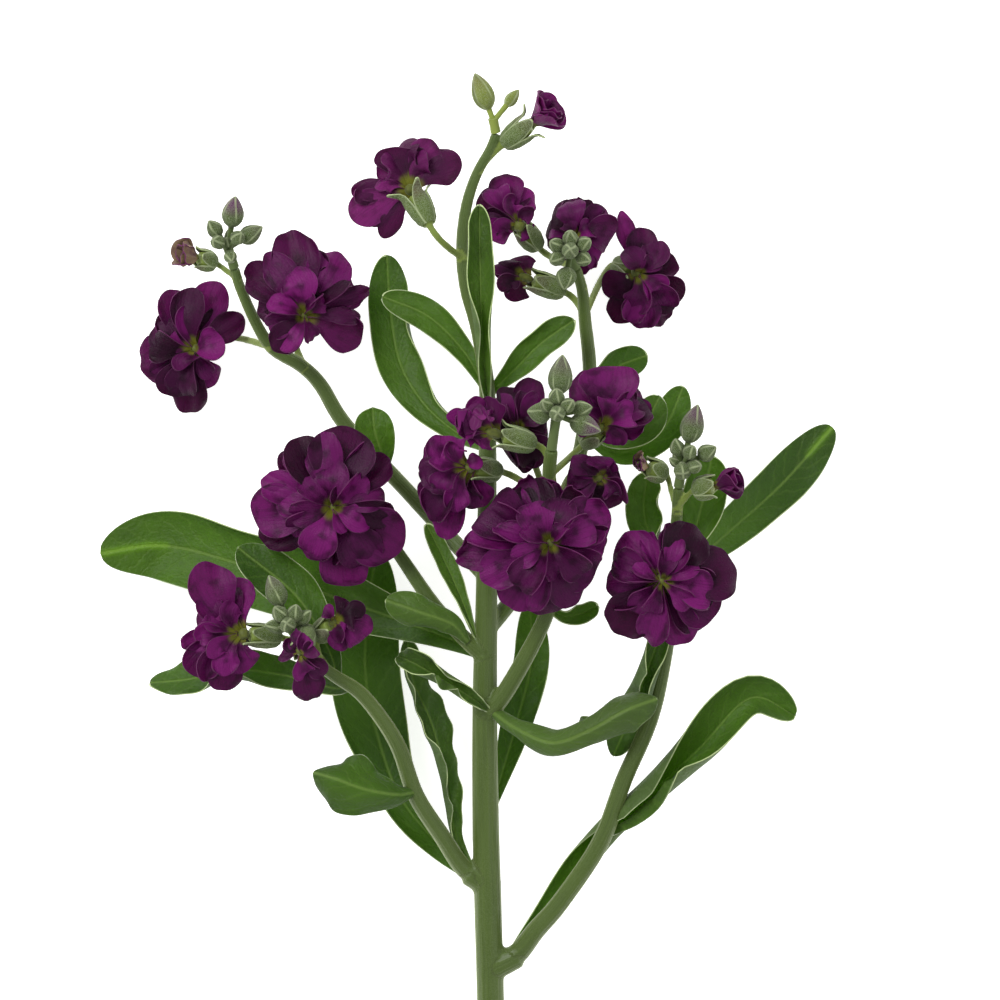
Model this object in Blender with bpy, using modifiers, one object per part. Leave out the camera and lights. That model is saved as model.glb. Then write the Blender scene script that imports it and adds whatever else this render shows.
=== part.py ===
"""Stock flower stem: one cut, branching stem of double purple stock, lying on a flat surface.

All sizes and places below are in millimetres; the objects are built in metres.
+Y runs up the stem, +X is to the right as seen from above, and +Z is up from the surface z = 0.
"""
import math
import random

import bmesh
import bpy
import numpy as np
from mathutils import Matrix, Vector

MM = 0.001
GAP = 0.32               # clearance between a piece and what it grows from
BLADE = 0.7              # thickness of a leaf
PETAL = 0.62             # thickness of a petal
CALYX_LENGTH = 9.0
CALYX_RADIUS = 2.5
STALK_RADIUS = 0.95      # flower stalk under the calyx
SEAT = 0.2               # how far the calyx ends below a bloom's eye, and its core starts above
NECK_TOP = 0.8           # how far a bud cluster's neck reaches past its hub
NECK_RADIUS = 1.3
BLOCK = 0.6              # metres, side of the block that stands for the space below the surface
SEED = 11
ORIGIN = (-8.0, 60.0)    # middle of the whole outline, which becomes x = 0, y = 0

# Stem and branches: rows of x, y, z and radius along each centre line.
STEMS = {
    "main": (
        (-1.0, -112.0, 3.4, 3.45), (-1.2, -80.0, 4.5, 3.45), (-1.6, -40.0, 8.0, 3.4),
        (-2.4, 0.0, 13.0, 3.5), (-3.0, 22.0, 16.5, 3.5), (-3.6, 45.0, 20.0, 3.4),
        (-3.8, 75.0, 24.5, 3.15), (-3.4, 100.0, 27.5, 2.8), (-3.2, 130.0, 29.0, 2.4),
        (-3.2, 152.0, 30.0, 2.1), (-5.5, 167.0, 30.5, 1.8), (-8.5, 178.0, 31.0, 1.7),
        (-9.5, 188.0, 31.0, 1.6), (-8.5, 198.0, 31.5, 1.5), (-6.0, 206.0, 32.5, 1.4),
        (-2.5, 212.5, 34.0, 1.3), (-1.0, 216.5, 35.0, 1.2),
    ),
    "low_left": (
        (-3.2, 29.5, 17.5, 2.5), (-9.0, 32.5, 18.5, 2.4), (-14.7, 41.0, 23.0, 2.25),
        (-21.0, 51.0, 28.0, 2.2), (-25.0, 62.5, 32.0, 2.1), (-29.3, 70.0, 34.5, 2.0),
        (-35.0, 77.0, 37.0, 1.9), (-41.0, 81.0, 38.5, 1.7), (-45.0, 84.0, 40.0, 1.5),
        (-48.5, 87.5, 41.5, 1.3),
    ),
    "low_right": (
        (-2.6, 7.0, 14.0, 2.6), (3.8, 10.5, 15.0, 2.7), (9.0, 17.0, 17.5, 2.5),
        (15.0, 24.0, 20.0, 2.4), (25.0, 39.0, 24.5, 2.3), (31.0, 55.0, 28.0, 2.2),
        (37.5, 70.0, 30.5, 2.1), (41.0, 85.0, 31.5, 1.95), (43.0, 100.0, 32.0, 1.8),
        (43.8, 115.0, 35.0, 1.6), (44.5, 128.0, 40.0, 1.4),
    ),
    "mid_left": (
        (-3.6, 86.0, 26.0, 2.3), (-7.5, 89.0, 27.0, 2.1), (-16.0, 98.0, 27.0, 1.95),
        (-25.0, 111.0, 26.0, 1.7), (-31.0, 119.0, 25.0, 1.4),
    ),
    "mid_right": (
        (-3.6, 72.0, 24.5, 2.4), (0.0, 75.0, 27.0, 2.3), (6.0, 85.0, 31.0, 2.2),
        (11.0, 95.0, 34.5, 2.0), (13.8, 104.0, 36.5, 1.9), (14.2, 115.0, 39.0, 1.8),
        (13.2, 124.0, 43.0, 1.8), (12.2, 131.0, 48.0, 1.8), (12.8, 137.5, 53.0, 1.7),
    ),
    "top_left": (
        (-3.5, 106.0, 27.5, 2.2), (-12.0, 115.0, 21.0, 2.1), (-24.0, 128.0, 16.0, 2.05),
        (-38.8, 143.8, 14.0, 2.0), (-45.0, 153.8, 14.5, 1.9), (-50.0, 158.8, 15.5, 1.8),
        (-57.0, 163.0, 17.0, 1.7), (-61.0, 169.0, 19.0, 1.5), (-65.0, 178.0, 23.0, 1.4),
        (-66.5, 183.0, 25.5, 1.3),
    ),
    "top_right": (
        (-3.6, 92.0, 26.5, 2.2), (3.0, 100.0, 22.0, 2.1), (12.0, 112.0, 17.0, 2.0),
        (18.0, 128.0, 15.0, 1.95), (21.5, 145.0, 16.0, 1.9), (22.5, 157.5, 19.0, 1.85),
        (21.3, 170.0, 22.0, 1.7), (20.6, 177.5, 25.0, 1.5), (19.0, 183.0, 28.5, 1.35),
    ),
    "low_left_collar": ((-3.6, 29.0, 17.0, 3.4), (-8.2, 31.4, 18.2, 3.0)),
    "low_right_collar": ((-1.5, 7.6, 14.2, 3.4), (4.6, 10.6, 15.2, 3.1)),
}

# Petal layers of half-open and shut blooms: how many, their angle from the bloom's axis at the claw
# and at the tip, their length, and their half width, both as shares of the bloom's radius.
FORMS = {
    "half": ((3, 26, 40, 1.0, 0.50), (1, 4, 12, 0.95, 0.34)),
    "shut": ((3, 26, 4, 1.0, 0.56),),
}
# Width and height of the small core that the claws of the petals stand in, as shares of the radius.
CORES = {"full": (0.115, 0.115), "open": (0.13, 0.13), "small": (0.18, 0.15), "half": (0.22, 0.42),
         "shut": (0.30, 0.50)}

# Blooms: eye, direction it faces, radius, form, and the point of the stem its stalk leaves.
BLOOMS = {
    "bloom_top_left_1": ((-75.5, 163.5, 10.5), (-0.55, -0.25, 0.80), 16.0, "open", (-58.0, 163.5, 17.2)),
    "bloom_top_left_2": ((-50.0, 171.0, 24.0), (0.30, 0.10, 0.95), 17.0, "open", (-49.0, 158.0, 15.3)),
    "bloom_top_left_3": ((-75.5, 185.5, 26.0), (-0.75, 0.20, 0.60), 6.5, "shut", (-65.8, 180.5, 24.2)),
    "bloom_top_1": ((-21.5, 201.0, 35.0), (-0.42, 0.80, -0.30), 16.0, "open", (-9.3, 185.5, 31.0)),
    "bloom_top_2": ((7.4, 218.6, 37.5), (0.75, 0.55, 0.36), 9.5, "half", (-5.5, 207.0, 32.7)),
    "bloom_top_right_1": ((5.5, 193.0, 26.0), (-0.45, 0.50, 0.74), 13.5, "small", (19.0, 183.0, 28.3)),
    "bloom_top_right_2": ((18.5, 189.5, 22.0), (0.10, 0.40, 0.90), 14.0, "small", (20.6, 178.0, 25.2)),
    "bloom_top_right_3": ((33.5, 182.5, 11.0), (0.45, -0.20, 0.85), 15.5, "open", (21.2, 171.0, 22.3)),
    "bloom_top_right_4": ((8.5, 180.0, 24.0), (-0.85, 0.32, 0.42), 10.0, "half", (21.0, 171.0, 22.0)),
    "bloom_mid_right_1": ((12.5, 114.5, 52.0), (-0.06, -0.06, 1.0), 22.0, "full", (14.0, 112.0, 38.5)),
    "bloom_mid_right_2": ((-6.5, 133.0, 43.0), (-0.72, 0.10, 0.68), 15.0, "open", (13.2, 124.0, 43.0)),
    "bloom_mid_right_3": ((0.8, 141.0, 51.0), (-0.90, 0.25, 0.35), 12.0, "half", (12.3, 131.5, 48.2)),
    "bloom_mid_right_4": ((24.5, 142.5, 43.0), (0.35, 0.35, 0.85), 15.0, "open", (12.3, 131.0, 48.0)),
    "bloom_mid_right_5": ((24.0, 131.0, 39.0), (0.50, -0.10, 0.85), 12.0, "small", (13.6, 122.0, 42.0)),
    "bloom_mid_right_6": ((5.0, 142.5, 41.5), (-0.10, 0.15, 0.98), 12.0, "small", (13.6, 120.0, 41.0)),
    "bloom_mid_left_1": ((-41.5, 123.5, 34.0), (-0.08, -0.10, 1.0), 20.0, "full", (-31.0, 119.0, 25.0)),
    "bloom_low_left_1": ((-62.5, 91.5, 38.0), (-0.85, 0.10, 0.50), 16.0, "open", (-46.5, 85.5, 40.7)),
    "bloom_low_left_2": ((-49.5, 88.0, 48.5), (-0.15, -0.55, 0.82), 9.0, "small", (-44.5, 83.6, 39.8)),
    "bloom_low_left_3": ((-42.0, 94.0, 43.0), (0.40, 0.35, 0.85), 9.0, "small", (-42.0, 81.7, 38.8)),
    "bloom_low_right_1": ((40.0, 105.3, 46.0), (0.05, -0.12, 1.0), 20.0, "full", (43.0, 101.0, 32.2)),
    "bloom_low_right_2": ((53.0, 128.5, 44.0), (0.90, 0.20, 0.40), 7.5, "shut", (44.2, 123.0, 38.0)),
    "bloom_low_right_3": ((37.0, 133.0, 40.0), (-0.80, 0.30, 0.50), 7.0, "shut", (44.2, 122.0, 37.6)),
}

# Petals of the open blooms: x and y of the tip, its height over the bloom's eye, width, how far the
# middle arches towards the bloom's front, and its roll in degrees.
PETALS = {
    "bloom_top_left_1": (
        (-82.5, 178.5, 0.0, 10.0, 2.0, 10), (-70.5, 181.0, -1.0, 10.5, 1.5, 0),
        (-63.5, 171.5, 1.0, 8.0, 1.5, 10), (-86.5, 169.5, 2.0, 10.0, 2.0, -10),
        (-90.5, 159.5, -1.0, 13.0, 2.0, 5), (-82.0, 150.5, 0.0, 12.0, 2.0, -5),
        (-78.0, 146.0, -3.0, 9.5, 1.5, 5), (-71.5, 153.5, -1.5, 8.5, 1.5, 0)),
    "bloom_top_left_2": (
        (-53.0, 192.0, 0.0, 13.0, 2.5, 0), (-64.5, 183.5, -1.0, 10.5, 2.0, 8),
        (-40.5, 187.5, 0.5, 12.5, 2.5, -8), (-36.5, 180.0, -2.5, 10.0, 2.0, 0),
        (-32.0, 177.5, 0.0, 5.5, 2.0, 20), (-34.5, 164.5, -1.0, 10.5, 2.0, 5),
        (-57.0, 162.5, 3.0, 9.0, 3.0, -10), (-61.0, 174.0, -2.5, 9.0, 1.5, 0)),
    "bloom_top_1": (
        (-25.5, 213.0, 0.0, 13.5, 2.0, 0), (-37.5, 201.0, -2.0, 6.5, 1.5, 15),
        (-37.5, 194.0, -1.0, 10.0, 1.5, -10), (-15.5, 213.5, -1.0, 10.0, 1.5, 10),
        (-9.5, 209.5, -1.0, 10.0, 1.5, -10), (-29.5, 190.0, -3.0, 6.0, 1.0, 0)),
    "bloom_top_right_1": (
        (1.0, 207.0, 1.0, 9.5, 1.5, 0), (-5.5, 201.5, -1.0, 8.5, 1.0, 0),
        (9.0, 202.0, 0.0, 8.0, 1.5, 10), (-3.0, 190.5, -1.0, 8.5, 1.0, 0),
        (10.5, 188.5, -1.0, 8.0, 1.0, 0)),
    "bloom_top_right_2": (
        (12.5, 199.0, 0.0, 10.0, 1.5, 0), (20.0, 200.5, -1.0, 10.0, 1.5, 5),
        (28.0, 196.5, 0.0, 10.0, 1.5, 0), (9.5, 192.0, -2.0, 9.0, 1.0, 0),
        (28.0, 184.5, 0.0, 10.0, 1.5, 0), (16.0, 176.0, -3.0, 7.0, 1.0, 0)),
    "bloom_top_right_3": (
        (29.5, 198.0, -1.0, 5.5, 1.5, 10), (35.5, 193.5, 0.0, 8.5, 1.5, 0),
        (43.0, 187.0, -1.0, 10.0, 1.5, 0), (45.0, 174.5, -2.0, 11.0, 2.0, 5),
        (40.5, 168.5, -3.0, 11.0, 1.5, -5), (35.0, 168.0, 0.0, 10.5, 2.0, 0),
        (28.5, 169.5, -2.0, 8.5, 1.5, 0), (25.5, 178.0, 0.0, 8.5, 1.5, 0)),
    "bloom_top_right_4": (
        (0.5, 180.0, 0.0, 8.5, 1.5, 0), (0.0, 186.0, 0.5, 8.5, 1.5, 10),
        (4.0, 174.5, 0.0, 7.0, 1.0, 0), (7.0, 189.0, -1.0, 8.5, 1.0, 0)),
    "bloom_mid_right_1": (
        (-8.0, 126.0, 1.5, 15.0, 3.0, 10), (-13.0, 114.5, -2.0, 14.5, 2.0, -8),
        (-5.5, 105.5, 1.0, 11.0, 3.0, -10), (2.0, 98.0, -1.5, 13.5, 2.0, 5),
        (10.0, 96.0, -3.0, 13.5, 2.0, 0), (21.5, 99.5, -1.0, 15.5, 2.5, -8),
        (29.0, 108.0, -2.5, 14.5, 2.0, 10), (30.5, 119.0, -0.5, 17.0, 2.5, -8),
        (25.5, 128.0, -3.0, 14.5, 1.5, 8), (-1.0, 134.0, -4.0, 12.5, 2.0, 0),
        (10.0, 134.0, -5.5, 12.5, 1.5, 0)),
    "bloom_mid_right_2": (
        (-13.5, 141.0, 0.0, 12.5, 2.0, 10), (-19.5, 133.5, -1.0, 12.5, 2.0, 0),
        (-18.5, 128.0, 3.0, 9.0, 2.0, 15), (-20.0, 122.5, -2.0, 9.5, 2.0, -10),
        (-14.5, 114.5, -3.0, 10.0, 2.0, 10), (-4.5, 122.5, -4.0, 10.0, 1.0, 0)),
    "bloom_mid_right_3": (
        (-11.0, 141.0, 1.0, 12.5, 2.5, 10), (-6.5, 146.5, 4.0, 9.5, 2.0, -20),
        (-8.5, 148.5, -2.0, 9.0, 1.0, 15), (-0.5, 150.5, -2.0, 9.0, 1.0, 0),
        (-4.5, 136.0, 1.5, 6.5, 1.5, 10)),
    "bloom_mid_right_4": (
        (26.5, 158.5, 1.0, 16.0, 3.0, 0), (34.0, 153.5, -1.5, 12.5, 2.0, 10),
        (38.5, 144.0, -0.5, 13.5, 2.0, -8), (34.5, 137.0, -2.5, 11.0, 1.5, 5),
        (18.5, 156.5, -1.0, 10.0, 2.0, -10)),
    "bloom_mid_right_5": (
        (18.0, 137.0, 1.0, 9.5, 1.5, 0), (28.5, 138.5, 1.0, 10.0, 1.5, 0),
        (32.5, 130.5, 0.0, 10.0, 1.5, 0), (26.0, 122.5, -1.0, 10.0, 1.0, 0),
        (16.5, 126.5, 0.0, 9.0, 1.0, 0)),
    "bloom_mid_right_6": (
        (1.5, 154.0, 1.0, 8.0, 1.5, 10), (9.0, 155.0, 0.0, 9.0, 1.5, 0), (14.0, 146.5, 0.0, 9.0, 1.5, -10),
        (12.0, 134.0, -1.5, 10.0, 1.5, 0), (4.0, 130.5, -2.0, 10.0, 1.5, 0), (-4.5, 135.0, -1.5, 9.0, 1.5, 0),
        (-4.5, 147.5, 0.0, 9.0, 1.5, 0)),
    "bloom_mid_left_1": (
        (-38.0, 143.5, 1.0, 18.0, 3.5, 0), (-51.0, 141.0, 0.5, 13.0, 2.5, 15),
        (-54.5, 138.0, -3.0, 10.0, 1.5, 10), (-62.5, 122.5, -1.0, 14.5, 2.0, -10),
        (-60.0, 115.5, -3.0, 12.5, 1.5, 10), (-50.0, 111.5, -1.5, 14.5, 2.5, 10),
        (-37.5, 101.0, -3.0, 13.0, 1.5, 0), (-25.0, 113.0, 0.0, 17.0, 2.5, 10),
        (-26.5, 136.0, 0.5, 9.0, 2.0, -20), (-25.5, 121.0, 3.5, 9.0, 3.0, 30)),
    "bloom_low_left_1": (
        (-72.5, 109.5, 1.0, 13.0, 2.5, 5), (-64.0, 106.0, -1.0, 9.0, 1.5, -10),
        (-75.5, 97.0, -2.0, 8.0, 1.0, 0), (-74.5, 93.0, 4.0, 9.0, 2.5, 10),
        (-79.0, 88.0, 0.0, 7.5, 2.0, -10), (-76.5, 81.0, 0.0, 10.5, 2.0, 10),
        (-69.5, 76.5, -2.0, 9.5, 1.5, 0), (-63.0, 82.0, 0.0, 10.0, 1.5, 0)),
    "bloom_low_left_2": (
        (-46.0, 75.5, -2.0, 9.0, 1.5, 0), (-55.0, 88.0, 0.0, 5.5, 1.0, 15),
        (-50.0, 95.0, 0.0, 5.5, 1.0, -15), (-42.5, 82.0, -1.0, 6.0, 1.0, 10)),
    "bloom_low_left_3": (
        (-37.0, 99.5, 0.5, 9.5, 1.5, 0), (-33.0, 90.5, 0.0, 10.0, 1.5, 0),
        (-40.5, 87.0, -1.0, 6.5, 1.0, 0)),
    "bloom_low_right_1": (
        (29.5, 116.0, -1.0, 12.5, 1.5, 5), (41.6, 119.5, 2.0, 5.5, 2.0, 55),
        (49.0, 119.0, 1.0, 13.5, 3.0, 5), (60.0, 108.0, -0.5, 15.0, 2.5, -5),
        (54.5, 97.0, -1.5, 13.5, 2.0, 8), (46.5, 88.5, -3.0, 11.0, 1.5, 0),
        (28.0, 92.0, -2.0, 13.5, 2.0, -5), (25.5, 104.5, -2.0, 10.0, 1.5, 0)),
}

# Bud clusters: the branch that carries them, the hub they spring from, and each bud's tip,
# length and radius.
BUDS = {
    "buds_top": ("main", (-1.6, 219.5, 36.0), (
        ((-6.3, 231.5, 37.5), 10.0, 3.0), ((4.8, 227.5, 34.5), 5.5, 1.7))),
    "buds_top_left": ("top_left", (-68.0, 188.0, 28.0), (
        ((-66.0, 200.8, 36.0), 9.0, 3.0), ((-72.8, 194.8, 33.0), 5.5, 2.2),
        ((-59.3, 193.3, 31.0), 7.0, 2.6), ((-71.5, 190.0, 36.5), 5.0, 2.0),
        ((-64.5, 191.5, 36.5), 5.0, 2.0), ((-67.0, 184.5, 34.5), 4.5, 1.8))),
    "buds_top_right": ("top_right", (17.5, 186.5, 32.0), (
        ((17.5, 192.0, 40.0), 5.0, 2.1), ((12.5, 189.5, 38.5), 5.0, 2.1),
        ((22.5, 190.0, 38.5), 5.0, 2.1), ((17.5, 187.5, 42.0), 5.5, 2.3),
        ((12.5, 184.5, 38.5), 5.0, 2.1), ((22.5, 184.5, 38.5), 5.0, 2.1),
        ((16.0, 177.5, 35.0), 6.0, 2.8))),
    "buds_mid_right": ("mid_right", (14.0, 146.0, 58.0), (
        ((15.5, 161.0, 61.0), 10.2, 3.3), ((6.7, 147.0, 60.0), 6.2, 3.0),
        ((22.9, 148.0, 60.0), 5.2, 2.5), ((25.0, 142.0, 60.5), 8.4, 3.0),
        ((14.0, 152.5, 65.0), 5.0, 2.2), ((10.5, 149.5, 65.5), 4.8, 2.0),
        ((18.0, 149.5, 65.5), 4.8, 2.0), ((14.2, 146.5, 67.5), 5.0, 2.2))),
    "buds_low_left": ("low_left", (-52.0, 93.0, 43.5), (
        ((-57.5, 106.3, 46.0), 8.5, 3.0), ((-56.0, 98.5, 50.0), 5.5, 2.2),
        ((-50.5, 99.0, 49.5), 5.5, 2.2), ((-47.0, 97.5, 47.0), 5.0, 2.0),
        ((-58.5, 94.0, 47.0), 5.5, 2.0), ((-53.0, 94.5, 51.5), 5.0, 2.2))),
    "buds_low_right": ("low_right", (45.2, 133.0, 42.0), (
        ((49.2, 148.8, 47.0), 10.4, 3.2), ((43.6, 140.3, 46.5), 5.0, 2.1),
        ((53.8, 138.2, 46.0), 5.5, 2.4), ((48.0, 138.5, 49.0), 4.8, 2.0),
        ((45.5, 131.5, 48.5), 5.0, 2.4), ((50.0, 133.5, 48.0), 4.5, 2.0))),
}

# Leaves: middle line from root to tip, width, lift of the left and right half in degrees, edge
# wave (height, number of waves), and turn of the blade round its middle line at root and tip.
LEAVES = {
    "leaf_low_left_long": (
        ((-6.0, 87.5, 24.0), (-20.0, 93.0, 20.0), (-40.0, 100.0, 14.0), (-66.0, 109.0, 6.5),
         (-85.0, 113.5, 0.0), (-101.0, 111.5, -2.5)), 20.5, (8, 8), (0.6, 2.0), (0, 0)),
    "leaf_low_left_dark": (
        ((-40.5, 80.5, 37.5), (-43.0, 88.0, 33.5), (-51.0, 101.0, 29.5), (-65.5, 113.0, 27.0)),
        12.5, (12, 8), (0.6, 1.5), (25, 10)),
    "leaf_low_left_forked": (
        ((-37.0, 78.5, 36.5), (-42.0, 78.0, 31.0), (-54.0, 81.0, 25.0), (-67.0, 82.5, 21.5), (-78.0, 80.0, 19.5),
         (-88.0, 79.0, 18.0)), 11.0, (18, -12), (1.2, 2.5), (0, 25)),
    "leaf_low_left_broad": (
        ((-5.0, 29.5, 15.0), (-15.0, 38.0, 12.0), (-25.0, 50.0, 8.5), (-31.0, 66.0, 6.0),
         (-34.0, 82.0, 5.0), (-33.0, 100.0, 4.5), (-31.0, 112.0, 4.0)), 18.5, (10, 10), (0.8, 2.0), (0, 0)),
    "leaf_low_left_narrow": (
        ((-6.5, 31.0, 20.0), (-11.0, 40.0, 18.0), (-13.5, 54.0, 17.0), (-17.0, 68.0, 15.0),
         (-22.0, 80.0, 12.5), (-23.5, 90.0, 11.5)), 9.0, (30, 8), (1.4, 3.0), (15, 25)),
    "leaf_low_left_cup": (
        ((-21.0, 52.0, 30.0), (-26.0, 51.5, 35.0), (-34.0, 53.0, 38.0), (-41.0, 55.5, 38.5),
         (-46.5, 57.0, 36.0)), 18.0, (-48, -48), (0.6, 1.5), (0, 15)),
    "leaf_mid_left_small": (
        ((-8.0, 89.5, 29.5), (-12.0, 94.0, 33.0), (-20.0, 97.0, 34.0), (-28.5, 100.0, 32.5)),
        9.5, (-20, -20), (0.4, 1.5), (10, 0)),
    "leaf_stem_left_curled": (
        ((-3.0, 72.5, 27.0), (-7.0, 75.5, 31.0), (-15.0, 80.5, 33.0), (-21.0, 84.0, 34.0),
         (-25.5, 86.0, 31.0)), 8.5, (38, 38), (0.9, 2.5), (0, 10)),
    "leaf_stem_right_twisted": (
        ((-2.0, 72.0, 27.0), (4.0, 68.0, 33.0), (13.0, 64.5, 38.0), (22.0, 67.5, 42.0),
         (31.0, 72.5, 44.0), (39.0, 75.5, 42.5)), 17.0, (-42, -46), (1.8, 2.2), (10, -15)),
    "leaf_low_right_hanging": (
        ((42.0, 101.0, 34.0), (40.0, 92.0, 37.0), (36.8, 82.5, 34.5), (33.0, 72.0, 29.0),
         (28.5, 61.0, 27.5)), 10.5, (20, 20), (0.9, 2.5), (-10, 10)),
    "leaf_low_right_long": (
        ((2.0, 9.0, 12.0), (10.0, 19.5, 11.5), (19.0, 31.5, 13.5), (28.0, 42.5, 18.0),
         (38.0, 51.5, 23.0), (50.0, 63.0, 28.0), (62.5, 75.5, 31.0), (74.0, 71.0, 27.0)),
        17.5, (34, 52), (1.0, 3.0), (0, 0)),
    "leaf_right_far": (
        ((43.5, 104.0, 32.5), (48.0, 109.0, 26.0), (57.0, 116.5, 16.0), (71.0, 129.0, 4.0),
         (84.0, 143.5, -2.5)), 12.5, (12, 8), (0.6, 2.5), (0, 0)),
    "leaf_right_behind_1": (
        ((21.0, 143.0, 16.0), (29.0, 141.5, 23.0), (36.0, 144.0, 25.5), (40.0, 151.0, 25.0)),
        9.5, (12, 12), (0.4, 1.5), (0, 0)),
    "leaf_right_behind_2": (
        ((21.0, 141.0, 16.0), (31.0, 137.0, 17.0), (41.0, 143.0, 17.0), (46.0, 153.5, 17.0)),
        9.5, (8, 8), (0.4, 1.5), (0, 0)),
    "leaf_right_bud_1": (
        ((43.6, 110.0, 33.5), (48.5, 117.0, 30.0), (51.0, 126.0, 29.0), (53.0, 136.0, 30.0)),
        12.0, (10, 14), (0.6, 2.0), (0, 0)),
    "leaf_right_bud_2": (
        ((43.4, 108.0, 33.0), (38.0, 115.0, 28.0), (36.0, 123.0, 27.0), (37.0, 132.0, 27.0)),
        10.0, (14, 10), (1.0, 2.5), (0, 0)),
    "leaf_top_left_long": (
        ((-3.4, 138.0, 29.0), (-11.0, 142.0, 24.0), (-19.0, 149.0, 20.0), (-25.0, 159.0, 17.0),
         (-27.5, 172.0, 16.0), (-28.5, 186.5, 16.5)), 12.5, (16, 8), (0.8, 2.5), (0, 0)),
    "leaf_top_left_short": (
        ((-3.4, 152.0, 30.0), (-9.0, 162.0, 28.0), (-18.0, 171.0, 27.0), (-29.5, 176.0, 26.0)),
        8.5, (18, 10), (0.5, 2.0), (0, 0)),
    "leaf_top_upright": (
        ((-3.2, 150.0, 31.0), (-3.8, 157.0, 36.0), (-4.6, 170.0, 38.5), (-5.0, 185.0, 40.0),
         (-5.2, 198.5, 40.0)), 11.0, (46, 46), (0.9, 3.0), (0, 0)),
    "leaf_top_right_short": (
        ((-3.3, 151.0, 29.0), (3.0, 157.0, 30.0), (10.0, 164.0, 31.0), (18.5, 170.0, 32.0)),
        8.5, (10, 18), (0.5, 2.0), (0, 0)),
    "leaf_top_right_dark": (
        ((22.2, 152.0, 18.0), (25.0, 155.5, 14.0), (30.5, 159.0, 11.0), (37.0, 161.5, 9.0)),
        8.5, (8, 8), (0.4, 1.5), (0, 0)),
    "leaf_top_left_round": (
        ((-28.5, 133.0, 15.4), (-30.0, 137.5, 19.5), (-31.5, 142.5, 20.5), (-32.0, 148.0, 20.0)),
        10.0, (8, 8), (0.3, 1.5), (0, 0)),
    "leaf_stem_back": (
        ((-2.5, 46.0, 18.0), (0.5, 56.0, 14.0), (4.5, 70.0, 12.0), (8.0, 85.0, 11.0),
         (7.5, 99.0, 10.5)), 9.5, (8, 16), (0.9, 3.0), (0, 0)),
    "leaf_mid_right_small": (
        ((12.0, 98.0, 35.0), (16.0, 96.0, 33.0), (20.0, 96.5, 31.0), (24.5, 98.5, 30.0)),
        6.5, (36, 36), (0.4, 1.5), (0, 0)),
    "leaf_mid_left_narrow": (
        ((-6.0, 90.5, 28.0), (-10.0, 101.0, 27.5), (-14.5, 111.0, 25.5), (-18.5, 119.0, 24.0)),
        5.5, (24, 24), (0.3, 2.0), (20, 10)),
}
LEAF_ALONG = 8           # faces along a leaf
LEAF_ACROSS = 2          # faces across a leaf
WIDEST = 0.66            # share of a leaf's length where it is widest
PETIOLE_SHARE = 0.20     # width at the root as a share of the whole

CROWD_MARGIN = 0.62      # half a petal and half the gap to the next bloom
CROWD_REACH = 3.0        # how far from the shared plane petals start to bend away
REST_LEVEL = 0.28        # blades are pressed down to this height, then trimmed flat at the surface

COLOURS = {              # base colour, roughness
    "stem": ((0.16, 0.22, 0.07), 0.50),
    "leaf": ((0.06, 0.13, 0.035), 0.55),
    "petal": ((0.09, 0.006, 0.075), 0.70),
    "bud": ((0.17, 0.23, 0.09), 0.75),
}


def clear_scene():
    for obj in list(bpy.data.objects):
        bpy.data.objects.remove(obj, do_unlink=True)


def make_collection(name):
    group = bpy.data.collections.new(name)
    bpy.context.scene.collection.children.link(group)
    return group


def make_material(name):
    colour, roughness = COLOURS[name]
    material = bpy.data.materials.new(name)
    material.use_nodes = True
    shader = material.node_tree.nodes["Principled BSDF"]
    shader.inputs["Base Color"].default_value = (*colour, 1.0)
    shader.inputs["Roughness"].default_value = roughness
    shader.inputs["Metallic"].default_value = 0.0
    return material


def add_object(name, mesh, group):
    obj = bpy.data.objects.new(name, mesh)
    group.objects.link(obj)
    return obj


def apply_modifiers(obj):
    bpy.context.view_layer.update()
    graph = bpy.context.evaluated_depsgraph_get()
    mesh = bpy.data.meshes.new_from_object(obj.evaluated_get(graph))
    old = obj.data
    obj.modifiers.clear()
    obj.data = mesh
    bpy.data.meshes.remove(old)


def set_material(obj, material):
    obj.data.materials.clear()
    obj.data.materials.append(material)
    obj.data.polygons.foreach_set("material_index", [0] * len(obj.data.polygons))


def is_closed(mesh):
    bm = bmesh.new()
    bm.from_mesh(mesh)
    closed = len(bm.faces) > 0 and all(len(edge.link_faces) == 2 for edge in bm.edges)
    bm.free()
    return closed


def boolean(obj, operation, group, solver="EXACT"):
    """Joins all meshes of a collection to an object, or cuts them from it."""
    before = obj.data.copy()
    cut = obj.modifiers.new(operation.lower(), "BOOLEAN")
    cut.operation = operation
    cut.operand_type = "COLLECTION"
    cut.collection = group
    cut.solver = solver
    apply_modifiers(obj)
    if solver == "EXACT" and not is_closed(obj.data):
        obj.data = before
        boolean(obj, operation, group, "MANIFOLD")


def remove_all(group):
    for obj in list(group.objects):
        bpy.data.objects.remove(obj, do_unlink=True)
    bpy.data.collections.remove(group)


def keep_largest(obj):
    """Drops loose scraps that a cut left behind."""
    bm = bmesh.new()
    bm.from_mesh(obj.data)
    unseen = set(bm.faces)
    bodies = []
    while unseen:
        face = unseen.pop()
        body = [face]
        for member in body:
            for edge in member.edges:
                for other in edge.link_faces:
                    if other in unseen:
                        unseen.remove(other)
                        body.append(other)
        bodies.append(body)
    bodies.sort(key=lambda body: sum(face.calc_area() for face in body))
    for body in bodies[:-1]:
        bmesh.ops.delete(bm, geom=body, context="FACES")
    bm.to_mesh(obj.data)
    bm.free()


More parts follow.
